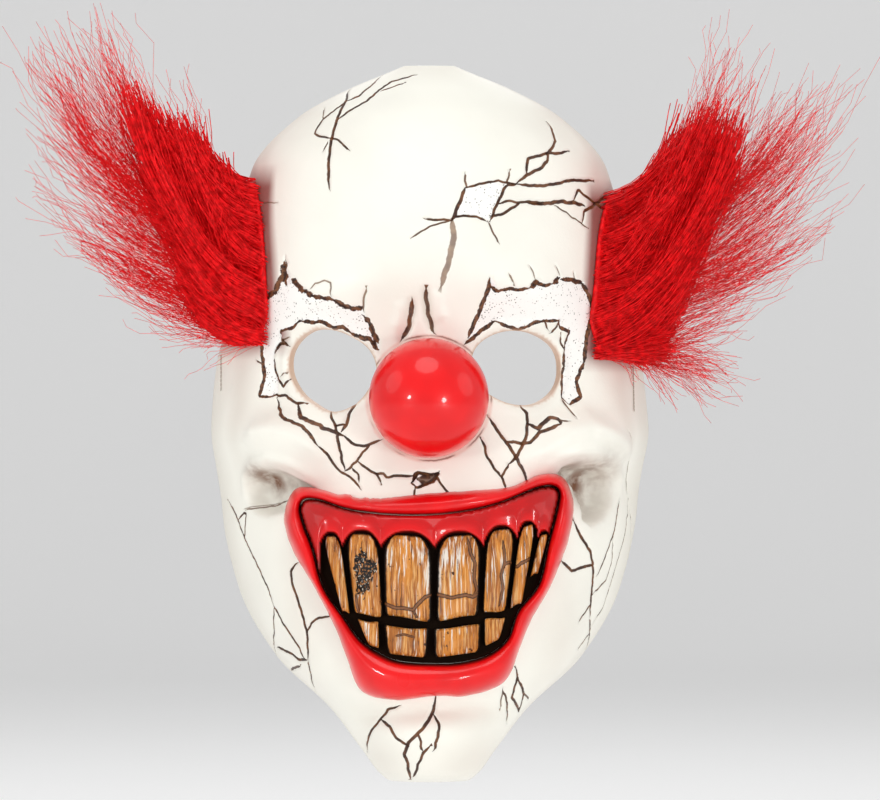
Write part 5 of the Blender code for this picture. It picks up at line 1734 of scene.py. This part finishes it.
def fur_guides(name, side, tuft_z, tips, count, seed):
    """Guide lines for a tuft: from the root patch on the side of the face, along the fur's flow, to tips."""
    random = np.random.default_rng(seed)
    shares = np.array([tip.share for tip in tips])
    picks = random.choice(len(tips), count, p=shares / shares.sum())
    points, edges = [], []
    steps = 10
    for pick in picks:
        tip = tips[pick]
        up = float(np.clip(tip.root + random.normal(0, 0.16), -1, 1))
        back = random.uniform(-1, 1) * (1 - 0.35 * up * up)
        share = TUFT_LOW_TURN + (TUFT_HIGH_TURN - TUFT_LOW_TURN) * (up + 1) / 2
        turn = side * (SIDE_TURN * share + back * TUFT_HALF_DEPTH / (FACE_WIDTH / 2))
        run = np.interp(-(tuft_z + up * TUFT_HALF_HEIGHT), -FACE.columns[0], FACE.runs)
        root = FACE.points(np.array([turn]), np.array([run]), 1.6 * MM)[0]
        depth = root[1] * 0.55 + 0.45 * 0.036 + random.normal(0, 5 * MM)
        depth = float(np.clip(depth, 0.014, 0.056))
        pixel = np.array([[tip.x, tip.y]]) + random.normal(0, tip.scatter * 0.55, (1, 2))
        x, z = seen_at(pixel, np.array([depth]))
        end = np.array([x[0], depth, z[0]])
        bend = root + (end - root) * FUR_BEND
        start = len(points)
        for k in range(steps):
            s = k / (steps - 1)
            points.append(root * (1 - s) ** 2 + bend * 2 * s * (1 - s) + end * s * s)
        edges += [(start + k, start + k + 1) for k in range(steps - 1)]
    mesh = bpy.data.meshes.new(name)
    mesh.from_pydata([tuple(p) for p in points], edges, [])
    return new_object(name, mesh)


# Where a guide line bends: shares of the way from its root to its tip in x, y and z
FUR_BEND = (0.56, 0.5, 0.12)


def add_fur(name, side, tuft_z, tips, guides, strands, look, seed, material):
    """One layer of fur of a tuft."""
    root_scatter, tip_scatter, frizz, radius, steps = look
    piece = fur_guides(name, side, tuft_z, tips, guides, seed)
    tree = bpy.data.node_groups.get("fur_strands") or fur_tree()
    modifier = piece.modifiers.new("strands", "NODES")
    modifier.node_group = tree
    values = {
        "Strands": strands, "Root Scatter": root_scatter,
        "Tip Scatter": tip_scatter, "Frizz": frizz, "Radius": radius, "Steps": steps, "Seed": seed,
        "Material": material,
    }
    set_inputs(modifier, tree, values)
    return baked(piece, name)


def add_fur_backing(name, side, tuft_z, material):
    """The knitted backing that the fur grows from, lying on the side of the face."""
    rows, columns = 26, 16
    loops = []
    for lift in (1.5 * MM, SEAT_GAP):
        grid = []
        for up in np.linspace(-1, 1, rows):
            reach = max(0.05, (1 - abs(up) ** 3.0)) ** 0.5
            back = np.linspace(-1, 1, columns) * reach
            share = TUFT_LOW_TURN + (TUFT_HIGH_TURN - TUFT_LOW_TURN) * (up + 1) / 2
            turn = side * (SIDE_TURN * share + back * TUFT_HALF_DEPTH / (FACE_WIDTH / 2))
            run = np.interp(-(tuft_z + up * TUFT_HALF_HEIGHT), -FACE.columns[0], FACE.runs)
            grid.append(FACE.points(turn, np.full(columns, run), lift))
        loops.append(np.vstack(grid))
    count = rows * columns
    faces = []
    for shift in (0, count):
        for r in range(rows - 1):
            for c in range(columns - 1):
                a = shift + r * columns + c
                faces.append((a, a + 1, a + columns + 1, a + columns))
    border = [c for c in range(columns)] + [r * columns + columns - 1 for r in range(1, rows)]
    border += [(rows - 1) * columns + c for c in range(columns - 2, -1, -1)]
    border += [r * columns for r in range(rows - 2, 0, -1)]
    for a, b in zip(border, border[1:] + border[:1]):
        faces.append((a, b, count + b, count + a))
    mesh = facing_out(mesh_of(name, np.vstack(loops), faces))
    return new_object(name, mesh, material)


def strap_edge(z, steps):
    """One edge of the strap's middle line, as rows of x, y and z."""
    inner = -(WALL + SEAT_GAP + STRAP_THICKNESS / 2)
    run = np.interp(-z, -FACE.columns[0], FACE.runs)
    tab_turn = STRAP_TAB / (FACE_WIDTH / 2)
    turns = SIDE_TURN - tab_turn * (1 - np.linspace(0, 1, 10))
    tab = FACE.points(turns, np.full(10, run), inner)
    lead = tab[-1] - FACE.points(np.array([SIDE_TURN - tab_turn / 3]), np.array([run]), inner)[0]
    start = tab[-1] + lead / np.linalg.norm(lead) * STRAP_LEAD
    depth = HEAD_LENGTH - start[1]
    around = np.linspace(0, pi / 2, steps)
    down = STRAP_DROP * np.sin(around) ** 2
    arc = np.stack([start[0] * np.cos(around), start[1] + depth * np.sin(around), z - down], axis=-1)
    right = np.vstack([tab, arc])
    left = right[-2::-1] * (-1, 1, 1)
    return np.vstack([right, left])


def add_strap(material):
    """The flat elastic band, with a map that runs along it in metres and across it from 0 to 1."""
    across = np.linspace(0, 1, 9)
    low, high = strap_edge(STRAP_Z - STRAP_WIDTH / 2, 90), strap_edge(STRAP_Z + STRAP_WIDTH / 2, 90)
    middle = (low + high) / 2
    steps = np.concatenate([[0], np.cumsum(np.linalg.norm(np.diff(middle, axis=0), axis=1))])
    out = np.cross(np.gradient(middle, axis=0), (0, 0, 1))
    out /= np.linalg.norm(out, axis=1)[:, None]
    loops, marks = [], []
    for k in range(len(middle)):
        band = low[k] + (high[k] - low[k]) * across[:, None]
        crown = STRAP_THICKNESS / 2 * (0.72 + 0.28 * np.sqrt(1 - (2 * across - 1) ** 4))
        front, back = band + out[k] * crown[:, None], band - out[k] * crown[:, None]
        loops.append(np.vstack([front, back[::-1]]))
        marks += [(steps[k], v) for v in across] + [(steps[k], v) for v in across[::-1]]
    mesh = lofted("elastic_strap", loops, join_ends=False)
    marks += [(0, 0.5), (steps[-1], 0.5)]
    layer = mesh.uv_layers.new(name="strap")
    corner = np.zeros(len(mesh.loops), np.int32)
    mesh.loops.foreach_get("vertex_index", corner)
    layer.data.foreach_set("uv", np.array(marks, np.float32)[corner].ravel())
    return new_object("elastic_strap", mesh, material), float(steps[-1])


# The strap's stitch lines on the face in pixels: the top and the bottom of each line, and stitches
StitchLine = namedtuple("StitchLine", "name path count")
STITCH_LINES = (
    StitchLine("left", ((221, 357), (221, 389)), 9),
    StitchLine("right", ((633, 368), (634, 410)), 12),
)


def stitch_tree():
    """Stitches along lines: a short rounded loop of thread at even steps, turned along its line."""
    tree, start, end = geometry_tree(
        "strap_stitches",
        (("Count", "NodeSocketInt"), ("Length", "NodeSocketFloat"), ("Radius", "NodeSocketFloat"),
         ("Material", "NodeSocketMaterial")),
    )
    g = Graph(tree)
    given = {socket.name: socket for socket in start.outputs}
    line = g.add("GeometryNodeMeshToCurve", given["Geometry"])
    points = tree.nodes.new("GeometryNodeCurveToPoints")
    g.feed(points.inputs[0], line)
    g.feed(points.inputs["Count"], given["Count"])
    arc = tree.nodes.new("GeometryNodeCurveArc")
    arc.inputs["Resolution"].default_value = 8
    g.feed(arc.inputs["Radius"], g.math("MULTIPLY", given["Length"], 0.5))
    arc.inputs["Start Angle"].default_value = 0.0
    arc.inputs["Sweep Angle"].default_value = pi
    ring = g.add("GeometryNodeCurvePrimitiveCircle", inputs={"Resolution": 8, "Radius": given["Radius"]})
    loop = g.add("GeometryNodeCurveToMesh", arc.outputs[0], ring, inputs={"Fill Caps": True})
    flattened = {"Rotation": (0.0, -pi / 2, 0.0), "Scale": (1, 1, 0.5)}
    loop = g.add("GeometryNodeTransform", loop, inputs=flattened)
    turn = g.add("FunctionNodeAlignRotationToVector", inputs={"Vector": points.outputs["Tangent"]}, axis="Z")
    instance = {"Instance": loop, "Rotation": turn}
    stitches = g.add("GeometryNodeInstanceOnPoints", points.outputs[0], inputs=instance)
    mesh = g.add("GeometryNodeRealizeInstances", stitches)
    mesh = g.add("GeometryNodeSetMaterial", mesh, inputs={"Material": given["Material"]})
    g.feed(end.inputs[0], mesh)
    return tree


# Share of its spacing that a stitch spans, and the radius of its thread in metres
STITCH_SHARE = 0.72
THREAD_RADIUS = 0.00022


def add_stitches(line, material):
    """The line of stitches that holds one end of the strap."""
    path = resampled(line.path, 4)
    turn, run = FACE.from_photo(path)
    points = FACE.points(turn, run, 0.1 * MM)
    mesh = bpy.data.meshes.new("stitch_line")
    mesh.from_pydata(points.tolist(), [(k, k + 1) for k in range(len(points) - 1)], [])
    piece = new_object("stitch_line", mesh)
    tree = bpy.data.node_groups.get("strap_stitches") or stitch_tree()
    modifier = piece.modifiers.new("stitches", "NODES")
    modifier.node_group = tree
    length = float(np.linalg.norm(points[-1] - points[0])) / line.count
    values = {
        "Count": line.count, "Length": length * STITCH_SHARE, "Radius": THREAD_RADIUS, "Material": material,
    }
    set_inputs(modifier, tree, values)
    return baked(piece, f"strap_stitches_{line.name}")


class CLOWNMASK_OT_face(bpy.types.Operator):
    """Builds the painted face"""

    bl_idname = "clown_mask.face"
    bl_label = "Face"

    def execute(self, context):
        skin = add_face()
        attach(skin, BODY)
        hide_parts("face_shell")
        return {"FINISHED"}


class CLOWNMASK_OT_nose(bpy.types.Operator):
    """Builds the ball nose"""

    bl_idname = "clown_mask.nose"
    bl_label = "Ball nose"

    def execute(self, context):
        nose = add_nose()
        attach(nose, BODY)
        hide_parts("nose_ball")
        return {"FINISHED"}


class CLOWNMASK_OT_mouth(bpy.types.Operator):
    """Builds the lips and the gum"""

    bl_idname = "clown_mask.mouth"
    bl_label = "Lips and gum"

    def execute(self, context):
        lips = add_lips()
        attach(lips, BODY)
        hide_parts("lips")
        gum = add_gum()
        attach(gum, BODY)
        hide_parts("gum_plate")
        return {"FINISHED"}


class CLOWNMASK_OT_teeth(bpy.types.Operator):
    """Builds the upper and the lower teeth"""

    bl_idname = "clown_mask.teeth"
    bl_label = "Teeth"

    def execute(self, context):
        material = tooth_material()
        for row, teeth in (("upper", UPPER_TEETH), ("lower", LOWER_TEETH)):
            for number, tooth in enumerate(teeth, 1):
                piece = add_tooth(f"tooth_{row}_{number}", tooth, material)
                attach(piece, BODY)
                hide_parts(f"{row}_tooth_{number}")
        return {"FINISHED"}


# A layer's look: scatter at the roots and at the tips, frizz, half thickness as a share, and points
DENSE_LOOK = (0.0022, 0.0040, 0.010, 1.15, 8)
WISP_LOOK = (0.0022, 0.0080, 0.030, 0.45, 11)
DENSE_GUIDES = 180
WISP_GUIDES = 140


class CLOWNMASK_OT_fur(bpy.types.Operator):
    """Builds both fur tufts"""

    bl_idname = "clown_mask.fur"
    bl_label = "Fur tufts"

    def execute(self, context):
        own = settings()
        material = fur_material()
        tufts = (
            ("left", -1, LEFT_TUFT_Z, LEFT_DENSE_TIPS, LEFT_WISP_TIPS),
            ("right", 1, RIGHT_TUFT_Z, RIGHT_DENSE_TIPS, RIGHT_WISP_TIPS),
        )
        for number, (name, side, tuft_z, dense, wisps) in enumerate(tufts):
            layers = (
                (f"fur_{name}_dense", dense, DENSE_GUIDES, own.dense_strands, DENSE_LOOK),
                (f"fur_{name}_wisps", wisps, WISP_GUIDES, own.wisp_strands, WISP_LOOK),
            )
            backing = add_fur_backing(f"fur_{name}_backing", side, tuft_z, material)
            pieces = [backing]
            for layer, (title, tips, guides, strands, look) in enumerate(layers):
                scaled = (*look[:3], look[3] * own.strand_radius, look[4])
                seed = 20 + 10 * number + layer
                pieces.append(add_fur(title, side, tuft_z, tips, guides, strands, scaled, seed, material))
            for piece in pieces:
                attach(piece, BODY)
            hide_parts(f"hair_tuft_{name}")
        return {"FINISHED"}


class CLOWNMASK_OT_strap(bpy.types.Operator):
    """Builds the elastic strap and its stitches"""

    bl_idname = "clown_mask.strap"
    bl_label = "Strap and stitches"

    def execute(self, context):
        strap, length = add_strap(elastic_material())
        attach(strap, BODY)
        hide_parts("head_strap")
        thread = thread_material()
        for line in STITCH_LINES:
            stitches = add_stitches(line, thread)
            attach(stitches, BODY)
        return {"FINISHED"}


# The stage, in metres: floor height, how far the sweep lies behind, and its half width
FLOOR_Z = -0.30
SWEEP_BACK = 4.2
SWEEP_HALF = 7.0
SWEEP_RADIUS = 0.8
SWEEP_TOP = 4.0

Lamp = namedtuple("Lamp", "name azimuth elevation distance size power")
LAMPS = (
    Lamp("key_left", -37, 1, 1.5, 0.17, 3.4),
    Lamp("key_right", 29, -4, 1.5, 0.24, 4.6),
    Lamp("top_soft", -8, 66, 1.8, 1.2, 8.5),
    Lamp("left_soft", -78, 24, 1.9, 1.2, 3.5),
    Lamp("right_soft", 80, 20, 1.9, 1.2, 3),
    Lamp("back_soft", 180, 40, 2.2, 1.4, 9),
)
SKY_STRENGTH = 0.60


def stage_material():
    material, g, shader, place = new_material("pale_stage", roughness=0.9)
    tint = g.mix(g.noise(place, 3, 2), (0.97, 0.97, 0.97, 1), (0.99, 0.99, 0.99, 1))
    g.feed(shader.inputs["Base Color"], tint)
    return material


class CLOWNMASK_OT_stage(bpy.types.Operator):
    """Builds the camera, the lamps, the sky and the pale sweep behind and below the mask"""

    bl_idname = "clown_mask.stage"
    bl_label = "Stage"

    def execute(self, context):
        scene = context.scene
        camera_data = bpy.data.cameras.new("camera")
        camera = bpy.data.objects.new("camera", camera_data)
        scene.collection.objects.link(camera)
        camera.location = (CAMERA_X, -CAMERA_DISTANCE, CAMERA_Z)
        camera.rotation_euler = (pi / 2, 0, 0)
        camera_data.sensor_fit = "HORIZONTAL"
        camera_data.sensor_width = 36
        camera_data.lens = 36 * CAMERA_DISTANCE / (IMAGE_SIZE[0] * PIXEL)
        camera_data.clip_start = 0.05
        scene.camera = camera
        for lamp in LAMPS:
            data = bpy.data.lights.new(lamp.name, "AREA")
            data.shape = "DISK"
            data.size = lamp.size
            data.energy = lamp.power
            light = bpy.data.objects.new(lamp.name, data)
            scene.collection.objects.link(light)
            around, up = radians(lamp.azimuth), radians(lamp.elevation)
            way = Vector((sin(around) * cos(up), -cos(around) * cos(up), sin(up)))
            light.location = way * lamp.distance
            light.rotation_euler = way.to_track_quat("Z", "Y").to_euler()
        world = bpy.data.worlds.new("sky")
        world.use_nodes = True
        background = world.node_tree.nodes["Background"]
        background.inputs[0].default_value = (1, 1, 1, 1)
        background.inputs[1].default_value = SKY_STRENGTH
        scene.world = world
        scene.view_settings.view_transform = "Standard"
        profile = [(-SWEEP_HALF, FLOOR_Z), (SWEEP_BACK - SWEEP_RADIUS, FLOOR_Z)]
        for k in range(1, 25):
            turn = pi / 2 * k / 24
            back = SWEEP_BACK - SWEEP_RADIUS * (1 - sin(turn))
            profile.append((back, FLOOR_Z + SWEEP_RADIUS * (1 - cos(turn))))
        profile.append((SWEEP_BACK, SWEEP_TOP))
        points = [(x, y, z) for y, z in profile for x in (-SWEEP_HALF, SWEEP_HALF)]
        faces = [(2 * k, 2 * k + 1, 2 * k + 3, 2 * k + 2) for k in range(len(profile) - 1)]
        sweep = new_object("sweep", mesh_of("sweep", points, faces), stage_material())
        return {"FINISHED"}


class CLOWNMASK_PT_panel(bpy.types.Panel):
    """Lists the pieces of the mask"""

    bl_idname = "CLOWNMASK_PT_panel"
    bl_label = "Clown Mask"
    bl_space_type = "VIEW_3D"
    bl_region_type = "UI"
    bl_category = "Clown Mask"

    def draw(self, context):
        column = self.layout.column()
        for operator in OPERATORS:
            column.operator(operator.bl_idname)
        for name in MaskSettings.__annotations__:
            column.prop(context.scene.clown_mask, name)


OPERATORS = (
    CLOWNMASK_OT_stage,
    CLOWNMASK_OT_face,
    CLOWNMASK_OT_nose,
    CLOWNMASK_OT_mouth,
    CLOWNMASK_OT_teeth,
    CLOWNMASK_OT_fur,
    CLOWNMASK_OT_strap,
)


def register():
    for kind in (MaskSettings, *OPERATORS, CLOWNMASK_PT_panel):
        bpy.utils.register_class(kind)
    bpy.types.Scene.clown_mask = bpy.props.PointerProperty(type=MaskSettings)


def unregister():
    del bpy.types.Scene.clown_mask
    for kind in reversed((MaskSettings, *OPERATORS, CLOWNMASK_PT_panel)):
        bpy.utils.unregister_class(kind)


def main():
    register()
    bpy.ops.clown_mask.stage()
    bpy.ops.clown_mask.face()
    bpy.ops.clown_mask.nose()
    bpy.ops.clown_mask.mouth()
    bpy.ops.clown_mask.teeth()
    bpy.ops.clown_mask.fur()
    bpy.ops.clown_mask.strap()


if __name__ == "__main__":
    main()
